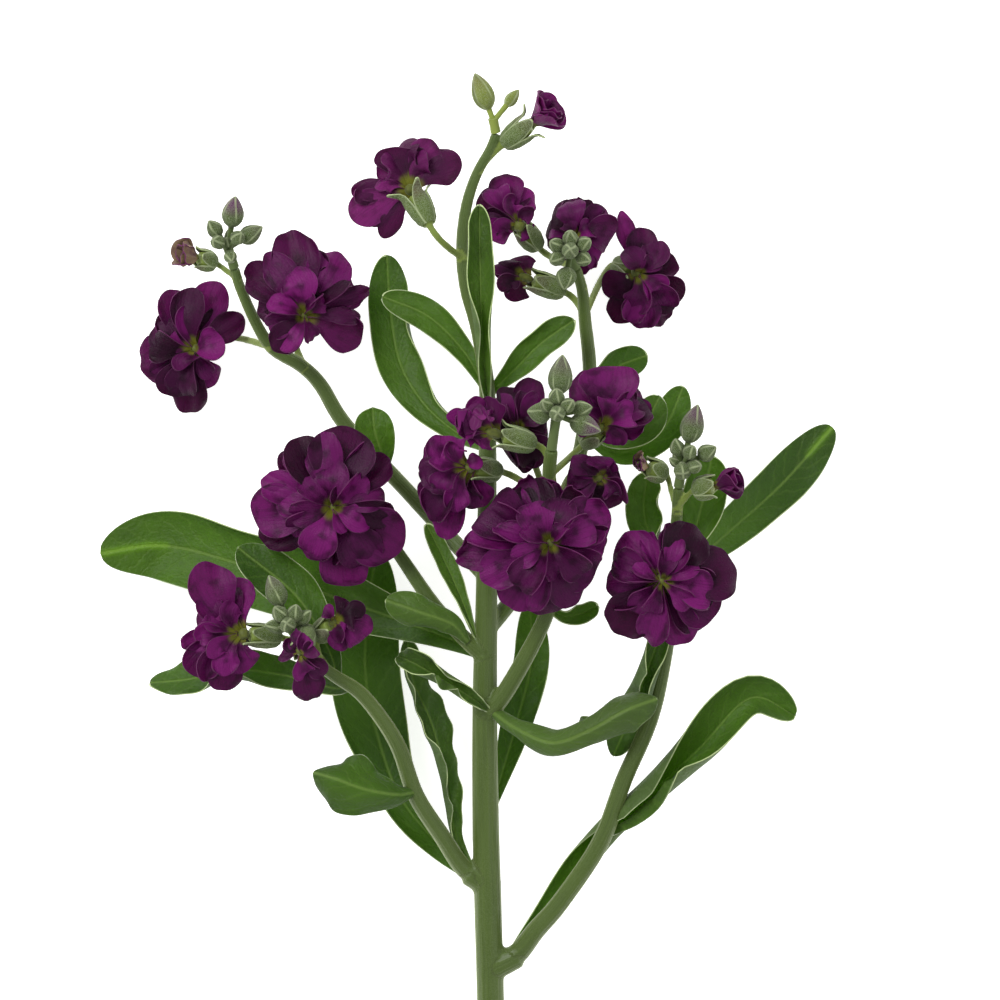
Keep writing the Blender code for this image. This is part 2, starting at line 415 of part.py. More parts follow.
def smooth_rows(rows, steps):
    """Points of a Catmull-Rom curve through the rows, steps to a span."""
    rows = np.array(rows, dtype=float)
    ends = np.vstack([2 * rows[0] - rows[1], rows, 2 * rows[-1] - rows[-2]])
    points = []
    for span in range(len(rows) - 1):
        a, b, c, d = ends[span:span + 4]
        for step in range(steps):
            t = step / steps
            points.append(0.5 * (2 * b + (c - a) * t + (2 * a - 5 * b + 4 * c - d) * t ** 2
                                 + (3 * b - a - 3 * c + d) * t ** 3))
    points.append(rows[-1])
    return np.array(points)


def point_at(rows, share):
    """The place and direction at a share of a smooth line's length."""
    fine = smooth_rows(rows, 8)
    steps = np.linalg.norm(np.diff(fine, axis=0), axis=1)
    reach = np.concatenate([[0.0], np.cumsum(steps)]) / steps.sum()
    places = [Vector([np.interp(at, reach, fine[:, axis]) for axis in range(3)])
              for at in (share, max(share - 0.02, 0.0), min(share + 0.02, 1.0))]
    return places[0], (places[2] - places[1]).normalized()


def tube(name, rows, group, resolution, swell=0.0):
    """A closed round tube along rows of x, y, z and radius, made thicker and longer by swell."""
    rows = np.array(rows, dtype=float)
    if swell:
        for end, inner in ((0, 1), (-1, -2)):
            way = rows[end, :3] - rows[inner, :3]
            rows[end, :3] += way / np.linalg.norm(way) * swell
    curve = bpy.data.curves.new(name, "CURVE")
    curve.dimensions = "3D"
    curve.bevel_depth = MM
    curve.bevel_resolution = resolution
    curve.use_fill_caps = True
    line = curve.splines.new("POLY")
    line.points.add(len(rows) - 1)
    for point, (x, y, z, radius) in zip(line.points, rows):
        point.co = (x * MM, y * MM, z * MM, 1.0)
        point.radius = radius + swell
    soft = add_object(name + "_line", curve, group)
    bpy.context.view_layer.update()
    mesh = bpy.data.meshes.new_from_object(soft.evaluated_get(bpy.context.evaluated_depsgraph_get()))
    bpy.data.objects.remove(soft, do_unlink=True)
    bm = bmesh.new()
    bm.from_mesh(mesh)
    bmesh.ops.remove_doubles(bm, verts=bm.verts, dist=0.01 * MM)
    bmesh.ops.recalc_face_normals(bm, faces=bm.faces)
    bm.to_mesh(mesh)
    bm.free()
    return add_object(name, mesh, group)


def unit(vector):
    return Vector(vector).normalized()


def stalk_rows(eye, facing, root):
    """Flower stalk and calyx in one: a thin arc from the stem that swells below the petals."""
    top = Vector(eye) - unit(facing) * SEAT
    base = top - unit(facing) * CALYX_LENGTH
    bend = base - unit(facing) * min(5.0, 0.45 * (base - Vector(root)).length)
    rows = []
    for t in (0.0, 0.5, 1.0):
        place = Vector(root) * (1 - t) ** 2 + bend * 2 * t * (1 - t) + base * t * t
        rows.append((*place, STALK_RADIUS))
    for share, radius in ((0.16, 0.80), (0.60, 1.0), (1.0, 0.78)):
        rows.append((*(base + (top - base) * share), radius * CALYX_RADIUS))
    return rows


def small_stalk_rows(eye, facing, root, radius):
    """The same for a shut bloom, whose calyx is shorter and thinner."""
    top = Vector(eye) - unit(facing) * SEAT
    base = top - unit(facing) * CALYX_LENGTH * 0.6
    middle = (Vector(root) + base) / 2
    return [(*root, 0.8), (*middle, 0.8), (*base, 0.9),
            (*((base + top) / 2), 0.34 * radius), (*top, 0.28 * radius)]


def bud_rows(hub, tip, length, radius):
    """A stalk and its ovoid bud in one, pointed at the tip."""
    hub, tip = Vector(hub), Vector(tip)
    way = (tip - hub).normalized()
    base = tip - way * length
    rows = [(*hub, 0.8)]
    for share, thick in ((0.0, 0.5), (0.5, 1.0), (1.0, 0.2)):
        rows.append((*(base + way * length * share), max(thick * radius, 0.3)))
    return rows


def thin_solid(name, place, along, across, thickness, group):
    """A blade: a grid set by place(u, v), u from root to tip and v from edge to edge."""
    bm = bmesh.new()
    bmesh.ops.create_grid(bm, x_segments=along, y_segments=across, size=0.5)
    for vert in bm.verts:
        vert.co = place(vert.co.x + 0.5, 2 * vert.co.y) * MM
    bmesh.ops.triangulate(bm, faces=bm.faces)
    mesh = bpy.data.meshes.new(name)
    bm.to_mesh(mesh)
    bm.free()
    obj = add_object(name, mesh, group)
    wall = obj.modifiers.new("thickness", "SOLIDIFY")
    wall.thickness = thickness * MM
    wall.offset = 0.0
    apply_modifiers(obj)
    return obj


def leaf_width(u):
    """Half width of a leaf as a share of its largest: narrow root, widest past the middle, blunt tip."""
    if u < WIDEST:
        return PETIOLE_SHARE + (1 - PETIOLE_SHARE) * math.sin(math.pi / 2 * u / WIDEST) ** 1.3
    return math.sqrt(max(0.0, 1 - ((u - WIDEST) / (1.03 - WIDEST)) ** 2.2))


def leaf_surface(rib, width, lifts, wave, turns):
    """The middle surface of a leaf as a function of u and v."""
    height, waves = wave

    def place(u, v):
        middle, along = point_at(rib, u)
        side = along.cross(Vector((0, 0, 1))).normalized()
        turn = math.radians(turns[0] + (turns[1] - turns[0]) * u)
        side = Matrix.Rotation(turn, 3, along) @ side
        up = side.cross(along)
        lift = math.radians(lifts[1] if v > 0 else lifts[0]) * (0.6 + 0.4 * abs(v))
        reach = width / 2 * leaf_width(u) * abs(v)
        ripple = height * v * v * math.sin(2 * math.pi * (waves * u + 0.27 * v)) * leaf_width(u)
        across = math.copysign(reach * math.cos(lift), v)
        point = middle + side * across + up * (reach * math.sin(lift) + ripple)
        return Vector((point.x, point.y, max(point.z, REST_LEVEL)))

    return place


def petal_surface(turn, rises, length, half_width, draw):
    """The middle surface of one petal in its bloom's frame, whose axis is z."""
    start, stop = (math.radians(angle) for angle in rises)
    bend = stop - start
    cup = draw.uniform(0.05, 0.22)
    tilt = draw.uniform(0.10, 0.24)
    ruffle = draw.uniform(0.05, 0.11) * length
    phase = draw.uniform(0.0, 1.0)
    notch = draw.uniform(0.0, 0.06)

    def place(u, v):
        t = u * (1 - 0.20 * v * v - notch * (1 - v * v))
        rise = start + bend * t
        out = 0.7 + length * (math.cos(start) - math.cos(rise)) / bend
        up = length * (math.sin(rise) - math.sin(start)) / bend
        wide = half_width * (0.13 + 0.87 * math.sin(math.pi / 2 * min(1.0, t / 0.72)) ** 1.6)
        off = cup * wide * v * v + tilt * wide * v
        off += ruffle * v * t * math.sin(2 * math.pi * (1.1 * t + phase))
        out -= off * math.cos(rise)
        up += off * math.sin(rise)
        across = wide * v
        return Vector((out * math.cos(turn) - across * math.sin(turn),
                       out * math.sin(turn) + across * math.cos(turn), up))

    return place


def lined_petal(eye, facing, level, row, draw):
    """The middle surface of a petal from a bloom's eye to the tip that its row gives."""
    tip_x, tip_y, rise, width, arch, roll = row
    tip = Vector((tip_x, tip_y, eye.z + rise))
    foot = eye + facing * level
    start = foot + (tip - foot).normalized() * 0.7
    bend = (start + tip) / 2 + facing * 2 * arch
    look = Vector((0, 0, 1 if facing.z > 0 else -1))
    cup = draw.uniform(-0.05, 0.22)
    tilt = draw.uniform(-0.12, 0.12)
    ruffle = draw.uniform(0.03, 0.09) * (tip - start).length
    phase = draw.uniform(0.0, 1.0)
    notch = draw.uniform(0.0, 0.06)

    def place(u, v):
        t = u * (1 - 0.20 * v * v - notch * (1 - v * v))
        middle = start * (1 - t) ** 2 + bend * 2 * t * (1 - t) + tip * t * t
        along = ((bend - start) * (1 - t) + (tip - bend) * t).normalized()
        side = Matrix.Rotation(math.radians(roll), 3, along) @ look.cross(along).normalized()
        up = along.cross(side)
        wide = width / 2 * (0.16 + 0.84 * math.sin(math.pi / 2 * min(1.0, t / 0.70)) ** 2.0)
        off = cup * wide * v * v + tilt * wide * v
        off += ruffle * v * t * math.sin(2 * math.pi * (1.1 * t + phase))
        return middle + side * (wide * v) + up * off

    return place


def shared_planes(name):
    """Planes between a bloom and its neighbours, each with its normal towards this bloom."""
    eye, facing, radius = BLOOMS[name][:3]
    centre = Vector(eye) + unit(facing) * 0.3 * radius
    planes = []
    for other, (other_eye, other_facing, other_radius, *_) in BLOOMS.items():
        other_centre = Vector(other_eye) + unit(other_facing) * 0.3 * other_radius
        apart = centre - other_centre
        if other != name and apart.length < 1.15 * (radius + other_radius):
            on_plane = other_centre + apart * other_radius / (radius + other_radius)
            planes.append((on_plane, apart.normalized()))
    return planes


def press_aside(point, planes, inward):
    """Bends a petal smoothly away from its neighbours and from the surface it lies on."""
    for on_plane, normal in planes + planes:
        clear = (point - on_plane).dot(normal) - CROWD_MARGIN - inward
        if clear < CROWD_REACH:
            point = point + normal * (CROWD_REACH * math.exp((clear - CROWD_REACH) / CROWD_REACH) - clear)
    if point.z < REST_LEVEL:
        point = Vector((point.x, point.y, REST_LEVEL))
    return point


def bloom(name, group, number):
    """One double bloom: layers of petals on a small core, joined into one body."""
    eye, facing, radius, form, _ = BLOOMS[name]
    draw = random.Random(SEED + number)
    frame = unit(facing).to_track_quat("Z", "Y").to_matrix()
    planes = shared_planes(name)
    core_mesh = bpy.data.meshes.new(name)
    bm = bmesh.new()
    wide, high = CORES[form]
    bmesh.ops.create_uvsphere(bm, u_segments=5, v_segments=3, radius=radius * MM)
    for vert in bm.verts:
        x, y, z = vert.co
        z = (z + radius * MM) * high + SEAT * MM
        vert.co = frame @ Vector((x * wide, y * wide, z)) + Vector(eye) * MM
    bm.to_mesh(core_mesh)
    bm.free()
    core = add_object(name, core_mesh, group)
    petals = make_collection(name + "_petals")
    for index, row in enumerate(PETALS.get(name, ())):
        level = min(3.0, max(0.5, 1.7 + 0.4 * row[2]), 1.5 * radius * high)
        surface = lined_petal(Vector(eye), unit(facing), level, row, draw)

        def place(u, v):
            return press_aside(surface(u, v), planes, 0.4 * (index % 3))

        thin_solid("petal", place, 2, 2, PETAL, petals)
    layers = () if name in PETALS else FORMS[form]
    for layer, (count, claw, tip, length, half_width) in enumerate(layers):
        for index in range(count):
            turn = 2 * math.pi * (index + 0.37 * layer + draw.uniform(-0.10, 0.10)) / count
            size = radius * length * draw.uniform(0.92, 1.06)
            rises = (claw + draw.uniform(-5, 5), tip + draw.uniform(-9, 9))
            surface = petal_surface(turn, rises, size, radius * half_width, draw)
            level = 0.6 + layer * 0.035 * radius
            inward = 0.8 * layer + 0.5 * (index % 2)

            def place(u, v):
                local = surface(u, v) + Vector((0, 0, level))
                return press_aside(frame @ local + Vector(eye), planes, inward)

            thin_solid("petal", place, 2, 1 if form == "shut" else 2, PETAL, petals)
    boolean(core, "UNION", petals)
    remove_all(petals)
    return core


def stem_lines():
    """Rows and roundness of every tube of the stem: its branches, then a stalk for each bloom."""
    lines = [(rows, 2 if name == "main" else 1) for name, rows in STEMS.items()]
    for eye, facing, radius, form, root in BLOOMS.values():
        if form == "shut":
            lines.append((small_stalk_rows(eye, facing, root, radius), 1))
        else:
            lines.append((stalk_rows(eye, facing, root), 1))
    return lines


def cluster_lines(branch, hub, buds):
    """Rows and roundness of every tube of a bud cluster: its neck, then its buds."""
    *end, radius = STEMS[branch][-1]
    way = unit(Vector(hub) - Vector(end))
    neck = [(*(Vector(end) + way * GAP), radius), (*(Vector(hub) + way * NECK_TOP), NECK_RADIUS)]
    return [(neck, 1)] + [(bud_rows(hub, *bud), 1) for bud in buds]


def melt(name, lines, group, swell=0.0):
    """Tubes along all the lines, joined into one body."""
    pieces = make_collection("pieces")
    whole, *_ = [tube(name if first else "piece", rows, group if first else pieces, roundness, swell)
                 for first, (rows, roundness) in zip([True] + [False] * len(lines), lines)]
    boolean(whole, "UNION", pieces)
    remove_all(pieces)
    return whole


def trim(obj, cutters, material):
    """Cuts a piece clear of all that it grows past, and gives it its colour."""
    boolean(obj, "DIFFERENCE", cutters)
    keep_largest(obj)
    set_material(obj, material)


def space_below(group):
    """A large block under the surface the stem lies on."""
    mesh = bpy.data.meshes.new("below_surface")
    bm = bmesh.new()
    bmesh.ops.create_cube(bm, size=BLOCK, matrix=Matrix.Translation((0, ORIGIN[1] * MM, -BLOCK / 2)))
    bm.to_mesh(mesh)
    bm.free()
    return add_object("below_surface", mesh, group)


def build():
    clear_scene()
    parts = make_collection("stock_flower_stem")
    cutters = make_collection("cutters")
    materials = {name: make_material(name) for name in COLOURS}

    floor_only = make_collection("surface_cut")
    block = space_below(floor_only)
    stem = melt("stem", stem_lines(), parts)
    trim(stem, floor_only, materials["stem"])
    melt("stem_gauge", stem_lines(), cutters, GAP)

    for name, cluster in BUDS.items():
        trim(melt(name, cluster_lines(*cluster), parts), cutters, materials["bud"])
    for name, cluster in BUDS.items():
        melt(name + "_gauge", cluster_lines(*cluster), cutters, GAP)

    floor_only.objects.unlink(block)
    cutters.objects.link(block)
    bpy.data.collections.remove(floor_only)
    for name, leaf in LEAVES.items():
        blade = thin_solid(name, leaf_surface(*leaf), LEAF_ALONG, LEAF_ACROSS, BLADE, parts)
        trim(blade, cutters, materials["leaf"])
    for number, name in enumerate(BLOOMS):
        trim(bloom(name, parts, number), cutters, materials["petal"])

    for cutter in cutters.objects:
        cutter.hide_render = True
        cutter.display_type = "WIRE"
    shift = Matrix.Translation((-ORIGIN[0] * MM, -ORIGIN[1] * MM, 0))
    for obj in list(parts.objects) + list(cutters.objects):
        obj.data.transform(shift)
        obj.data.update()


build()
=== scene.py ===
# %% [markdown]
# A cut stem of double purple stock, lying on a white table and seen straight from above.
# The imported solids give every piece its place: the forked stem, the long blunt leaves, the
# double blooms and the bud clusters at the branch tips. Each solid is replaced here by a finer
# piece of the same form, with thin petals, veins, felted edges and velvet.
# All tables are in millimetres on the table; the solids' frame is shifted by ORIGIN from it.

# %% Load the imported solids
import math
import random

import bpy
import numpy as np
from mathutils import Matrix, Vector


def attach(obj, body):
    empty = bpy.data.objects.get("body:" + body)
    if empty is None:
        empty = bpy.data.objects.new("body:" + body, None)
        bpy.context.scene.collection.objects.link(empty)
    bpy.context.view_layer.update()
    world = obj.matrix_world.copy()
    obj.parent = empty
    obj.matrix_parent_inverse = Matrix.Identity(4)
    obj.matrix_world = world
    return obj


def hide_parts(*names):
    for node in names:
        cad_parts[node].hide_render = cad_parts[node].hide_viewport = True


MM = 0.001
ORIGIN = np.array((-8.0, 60.0, 0.0))
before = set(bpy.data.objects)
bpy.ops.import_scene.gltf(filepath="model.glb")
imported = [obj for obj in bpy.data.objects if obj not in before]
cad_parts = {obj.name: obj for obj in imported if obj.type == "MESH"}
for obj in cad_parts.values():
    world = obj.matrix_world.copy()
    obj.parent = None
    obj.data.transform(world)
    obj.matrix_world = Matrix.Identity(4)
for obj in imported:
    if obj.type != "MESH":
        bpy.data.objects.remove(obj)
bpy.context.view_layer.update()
scene = bpy.context.scene
print(len(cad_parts), "solids loaded")

# %% [markdown]
# The camera hangs far above the table and looks straight down through a long lens, because the
# photograph shows the spray flat on, with next to no perspective. One photo pixel is 0.25 mm at
# the height where most blooms lie.

# %% Camera
VIEW_WIDTH = 0.250          # metres across the photograph, at the height of the blooms
VIEW_LEVEL = 0.030          # that height, in metres
VIEW_CENTRE = (0.008, 0.065)
CAMERA_HEIGHT = 3.0
SENSOR = 36.0


def deselect():
    for obj in list(bpy.context.selected_objects):
        obj.select_set(False)


deselect()
bpy.ops.object.camera_add(location=(*VIEW_CENTRE, CAMERA_HEIGHT), rotation=(0.0, 0.0, 0.0))
camera = bpy.context.object
camera.name = "overhead_camera"
camera.data.sensor_width = SENSOR
camera.data.lens = SENSOR * (CAMERA_HEIGHT - VIEW_LEVEL) / VIEW_WIDTH
scene.camera = camera
print("lens", round(camera.data.lens, 1), "mm")

# %% [markdown]
# Colours are written as they read on screen, in sRGB hex, and one function turns them to the
# linear values that a shader needs. One more function adds a node with its settings and links,
# so a material reads from top to bottom as a list of what it is made of.

# %% Helpers for materials


def colour(code):
    """An sRGB hex colour as linear red, green, blue and alpha."""
    parts = [int(code[at:at + 2], 16) / 255 for at in (1, 3, 5)]
    return (*[p / 12.92 if p < 0.04045 else ((p + 0.055) / 1.055) ** 2.4 for p in parts], 1.0)


def node(tree, kind, links=(), inputs=(), **settings):
    """Adds a node; inputs are set by name or number, and links feed an input from a socket."""
    new = tree.nodes.new(kind)
    for name, value in settings.items():
        setattr(new, name, value)
    for name, value in dict(inputs).items():
        new.inputs[name].default_value = value
    for name, socket in dict(links).items():
        tree.links.new(socket, new.inputs[name])
    return new


def start_material(name, roughness, sheen, specular, sheen_tint="#ffffff"):
    """A material with only its Principled shader, whose constants are set here."""
    material = bpy.data.materials.new(name)
    material.use_nodes = True
    tree = material.node_tree
    shader = tree.nodes["Principled BSDF"]
    shader.inputs["Roughness"].default_value = roughness
    shader.inputs["Sheen Weight"].default_value = sheen
    shader.inputs["Sheen Roughness"].default_value = 0.5
    shader.inputs["Sheen Tint"].default_value = colour(sheen_tint)
    shader.inputs["Specular IOR Level"].default_value = specular
    return material, tree, shader


def band(tree, value, low, high):
    """1 where the value is under low, fading to 0 at high."""
    return node(tree, "ShaderNodeMapRange", {"Value": value}, clamp=True, interpolation_type="SMOOTHSTEP",
                inputs={"From Min": low, "From Max": high, "To Min": 1.0, "To Max": 0.0}).outputs["Result"]


def mix(tree, factor, first, second):
    """Mixes two colours, each a socket or a hex code."""
    new = node(tree, "ShaderNodeMix", data_type="RGBA")
    for place, value in ((0, factor), (6, first), (7, second)):
        if isinstance(value, str):
            new.inputs[place].default_value = colour(value)
        elif isinstance(value, float):
            new.inputs[place].default_value = value
        else:
            tree.links.new(value, new.inputs[place])
    return new.outputs[2]


def maths(tree, operation, first, second=0.0):
    """One sum on two values, each a socket or a number."""
    new = node(tree, "ShaderNodeMath", operation=operation)
    for place, value in enumerate((first, second)):
        if isinstance(value, float):
            new.inputs[place].default_value = value
        else:
            tree.links.new(value, new.inputs[place])
    return new.outputs["Value"]


def times(tree, first, second):
    return maths(tree, "MULTIPLY", first, second)


def blade_values(tree):
    """The values every blade carries: millimetres along, across and to its edge, and its shares."""
    sizes = node(tree, "ShaderNodeAttribute", attribute_name="sizes")
    shares = node(tree, "ShaderNodeAttribute", attribute_name="shares")
    first = node(tree, "ShaderNodeSeparateXYZ", {"Vector": sizes.outputs["Vector"]})
    second = node(tree, "ShaderNodeSeparateXYZ", {"Vector": shares.outputs["Vector"]})
    return sizes.outputs["Vector"], list(first.outputs) + list(second.outputs)


def noise(tree, vector, scale, detail=2.0, stretch=None):
    """Noise whose scale is lumps to a millimetre when the vector is in millimetres."""
    if stretch:
        vector = node(tree, "ShaderNodeMapping", {"Vector": vector}, {"Scale": stretch}).outputs["Vector"]
    return node(tree, "ShaderNodeTexNoise", {"Vector": vector},
                {"Scale": scale, "Detail": detail}).outputs["Fac"]


def relief(tree, shader, height, distance):
    """Bump from a height that goes from 0 to 1 over a distance in metres."""
    bump = node(tree, "ShaderNodeBump", {"Height": height}, {"Distance": distance})
    tree.links.new(bump.outputs["Normal"], shader.inputs["Normal"])
    return bump.outputs["Normal"]


def let_light_through(tree, shader, share, code, normal):
    """Mixes in light that comes through the blade from behind."""
    glow = node(tree, "ShaderNodeBsdfTranslucent", {"Normal": normal}, {"Color": colour(code)})
    both = node(tree, "ShaderNodeMixShader", {1: shader.outputs["BSDF"], 2: glow.outputs["BSDF"]},
                {0: share})
    tree.links.new(both.outputs["Shader"], tree.nodes["Material Output"].inputs["Surface"])


def two_tones(name, gloss, lumps, detail, dark, light, depth=0.0):
    """A plain material that wavers between two colours, with so many lumps to a metre."""
    material, tree, shader = start_material(name, *gloss)
    waver = noise(tree, node(tree, "ShaderNodeTexCoord").outputs["Object"], lumps, detail)
    tree.links.new(mix(tree, waver, dark, light), shader.inputs["Base Color"])
    if depth:
        relief(tree, shader, waver, depth)
    return material


# %% [markdown]
# Leaf skin. A stock leaf is deep green above and grey-green below, and short star-shaped hairs
# felt it all over, which makes it dull and gives it a pale edge; that pale edge is also painted
# light, the glow of the hairs lit from behind. The midrib and the side veins are paler. The
# pattern follows each blade through the millimetres that its mesh carries.

# %% Leaf materials
VEIN_SLANT = 1.5            # millimetres along for each millimetre outwards
VEIN_SPACING = 5.8          # millimetres


def leaf_material(name, dark, light, vein, felt, glow, share):
    material, tree, shader = start_material(name, 0.48, 0.08, 0.26)
    vector, (along, across, edge, _, _, tone) = blade_values(tree)
    place = node(tree, "ShaderNodeTexCoord").outputs["Object"]
    # Broad patches and clouds of two greens, greyer where the felt is thick.
    base = mix(tree, band(tree, noise(tree, place, 16.0), 0.38, 0.62), light, dark)
    base = mix(tree, times(tree, noise(tree, vector, 0.22, 4.0), 0.7), base, dark)
    base = mix(tree, times(tree, tone, 0.5), base, felt)
    # Side veins slant towards the tip and wander; the midrib is a pale band.
    outward = maths(tree, "ABSOLUTE", across)
    wander = times(tree, noise(tree, vector, 0.16, 3.0), 9.0)
    slant = maths(tree, "ADD", maths(tree, "SUBTRACT", along, times(tree, outward, VEIN_SLANT)), wander)
    side_vein = times(tree, band(tree, maths(tree, "PINGPONG", slant, VEIN_SPACING / 2), 0.0, 0.9), 0.11)
    base = mix(tree, side_vein, base, vein)
    rib = band(tree, outward, 0.15, 0.70)
    base = mix(tree, times(tree, rib, 0.5), base, vein)
    # Specks of hair, and a pale line along the margin, partly hair and partly a painted glow of the hairs
    # lit from behind.
    hairs = maths(tree, "MAXIMUM", maths(tree, "SUBTRACT", noise(tree, vector, 4.5, 1.0), 0.45), 0.0)
    base = mix(tree, times(tree, hairs, 0.8), base, felt)
    base = mix(tree, times(tree, band(tree, edge, 0.04, 0.26), 0.55), base, "#a9b98c")
    tree.links.new(base, shader.inputs["Base Color"])
    height = maths(tree, "ADD", times(tree, side_vein, -2.0), noise(tree, vector, 0.9, 3.0))
    height = maths(tree, "ADD", height, times(tree, rib, -0.6))
    let_light_through(tree, shader, share, glow, relief(tree, shader, height, 0.00028))
    return material


leaf_top, leaf_under = (leaf_material(*values) for values in (
    ("leaf_skin_upper", "#223906", "#557c14", "#7f9b48", "#5d703a", "#7cac10", 0.40),
    ("leaf_skin_underside", "#3e561f", "#627c32", "#8a9f66", "#758760", "#80a61e", 0.36)))
# The edge wall is pale felt, made paler still as a painted glow of hairs lit from behind.
leaf_rim_felt_and_glow = two_tones("leaf_edge_felt_and_painted_glow", (0.8, 0.5, 0.2), 1500.0, 1.0, "#84995a", "#bccb94")
print("leaf materials made")

# %% [markdown]
# Petal velvet. The upper face is deep purple and looks like velvet, because its cells stand up
# as tiny cones; its back is paler and pinker. Fine veins fan out from the claw, the narrow foot
# of the petal, which is olive yellow. The thin line along the edge, a little paler than the face,
# is a painted highlight where light catches the edge.

# %% Petal materials


def petal_material(name, dark, light, deep, edge_highlight, glow, share, sheen):
    material, tree, shader = start_material(name, 0.40, sheen, 0.13, "#b84aa4")
    vector, (along, _, edge, length_share, side, tone) = blade_values(tree)
    # Each petal has its own tone between two purples, with deeper clouds.
    base = mix(tree, tone, dark, light)
    cloud = band(tree, noise(tree, vector, 0.20), 0.34, 0.60)
    base = mix(tree, times(tree, cloud, 0.70), base, deep)
    # Veins fan out, because the noise is stretched along shares of the width.
    fan = node(tree, "ShaderNodeCombineXYZ", {"X": times(tree, side, 7.0), "Y": times(tree, along, 0.10),
                                             "Z": times(tree, tone, 40.0)}).outputs["Vector"]
    streak = times(tree, band(tree, noise(tree, fan, 1.6), 0.34, 0.56), 0.18)
    base = mix(tree, streak, base, deep)
    # A thin paler line along the edge: painted highlight where light catches the petal's edge.
    base = mix(tree, times(tree, band(tree, edge, 0.02, 0.16), 0.25), base, edge_highlight)
    base = mix(tree, band(tree, length_share, 0.10, 0.27), base, "#6c7020")
    tree.links.new(base, shader.inputs["Base Color"])
    height = maths(tree, "ADD", times(tree, streak, -1.5), noise(tree, vector, 2.2))
    let_light_through(tree, shader, share, glow, relief(tree, shader, height, 0.00014))
    return material


petal_top, petal_back, dry_top, dry_back = (petal_material(*values) for values in (
    ("petal_velvet_upper", "#27071f", "#761a68", "#13030d", "#63275a", "#a8168e", 0.28, 0.08),
    ("petal_velvet_back", "#421238", "#80266f", "#280b20", "#753a6c", "#a8168e", 0.30, 0.10),
    ("withered_petal", "#5d4a38", "#8e785c", "#451f40", "#a08c70", "#8a6a4c", 0.12, 0.15),
    ("withered_petal_back", "#66543f", "#96815f", "#4f2a44", "#a08c70", "#8a6a4c", 0.12, 0.15)))
petal_rim = two_tones("petal_edge", (0.6, 0.06, 0.12), 900.0, 1.0, "#3a1030", "#6a2a5c")
core_skin = two_tones("bloom_eye", (0.6, 0.2, 0.3), 900.0, 1.0, "#33380f", "#656d22")
print("petal materials made")

# %% [markdown]
# Stem skin and bud felt. The stem is smooth and green with a grey bloom and faint lines along
# it; the mesh carries millimetres along and around each branch, so the lines follow every bend.
# Buds and sepals are felted grey-green with pale edges, and some buds show purple at the tip.

# %% Stem and bud materials
stem_skin, tree, shader = start_material("stem_skin", 0.40, 0.42, 0.28, "#cfdc9a")
vector, (_, _, _, _, _, paler) = blade_values(tree)
fibre = noise(tree, vector, 1.0, 3.0, (0.05, 2.0, 1.0))
base = mix(tree, fibre, "#283810", "#46591e")
base = mix(tree, times(tree, noise(tree, vector, 0.08, 3.0), 0.6), base, "#4b5f20")
base = mix(tree, times(tree, paler, 0.55), base, "#84963f")
bloom_dust = band(tree, noise(tree, vector, 6.0), 0.36, 0.58)
base = mix(tree, times(tree, bloom_dust, 0.08), base, "#94a47a")
tree.links.new(base, shader.inputs["Base Color"])
relief(tree, shader, fibre, 0.00030)
cut_face = two_tones("stem_cut_face", (0.45, 0.0, 0.5), 2500.0, 2.0, "#a9b77c", "#d5dcb4", 0.0002)


def bud_material(name, green_dark, green_light, tip_code):
    material, tree, shader = start_material(name, 0.7, 0.30, 0.16, "#dfe6c8")
    vector, (_, _, edge, length_share, _, tone) = blade_values(tree)
    base = mix(tree, noise(tree, vector, 0.9, 3.0), green_dark, green_light)
    tip = node(tree, "ShaderNodeMapRange", {"Value": length_share}, clamp=True,
               inputs={"From Min": 0.46, "From Max": 0.78}).outputs["Result"]
    base = mix(tree, times(tree, tip, tone), base, tip_code)
    hairs = band(tree, noise(tree, vector, 5.0, 1.0), 0.35, 0.55)
    base = mix(tree, times(tree, hairs, 0.35), base, "#aebb98")
    pale_edge = times(tree, band(tree, edge, 0.06, 0.42), 0.8)
    base = mix(tree, pale_edge, base, "#aebb8e")
    tree.links.new(base, shader.inputs["Base Color"])
    relief(tree, shader, maths(tree, "ADD", hairs, pale_edge), 0.00015)
    return material


bud_felt = bud_material("bud_felt", "#2c3d16", "#5a6d34", "#5a2456")
bud_pale = bud_material("bud_felt_yellow", "#566524", "#8b983a", "#6b4a3c")
sepal_felt = bud_material("sepal_felt", "#394c18", "#637834", "#5f4048")
print("stem and bud materials made")

# %% [markdown]
# The tables of the spray. They repeat the solids' own centre lines and places, because this
# script can't read the part's source: rows of x, y, z and radius for the stem, and one line for
# each bloom, bud and leaf.

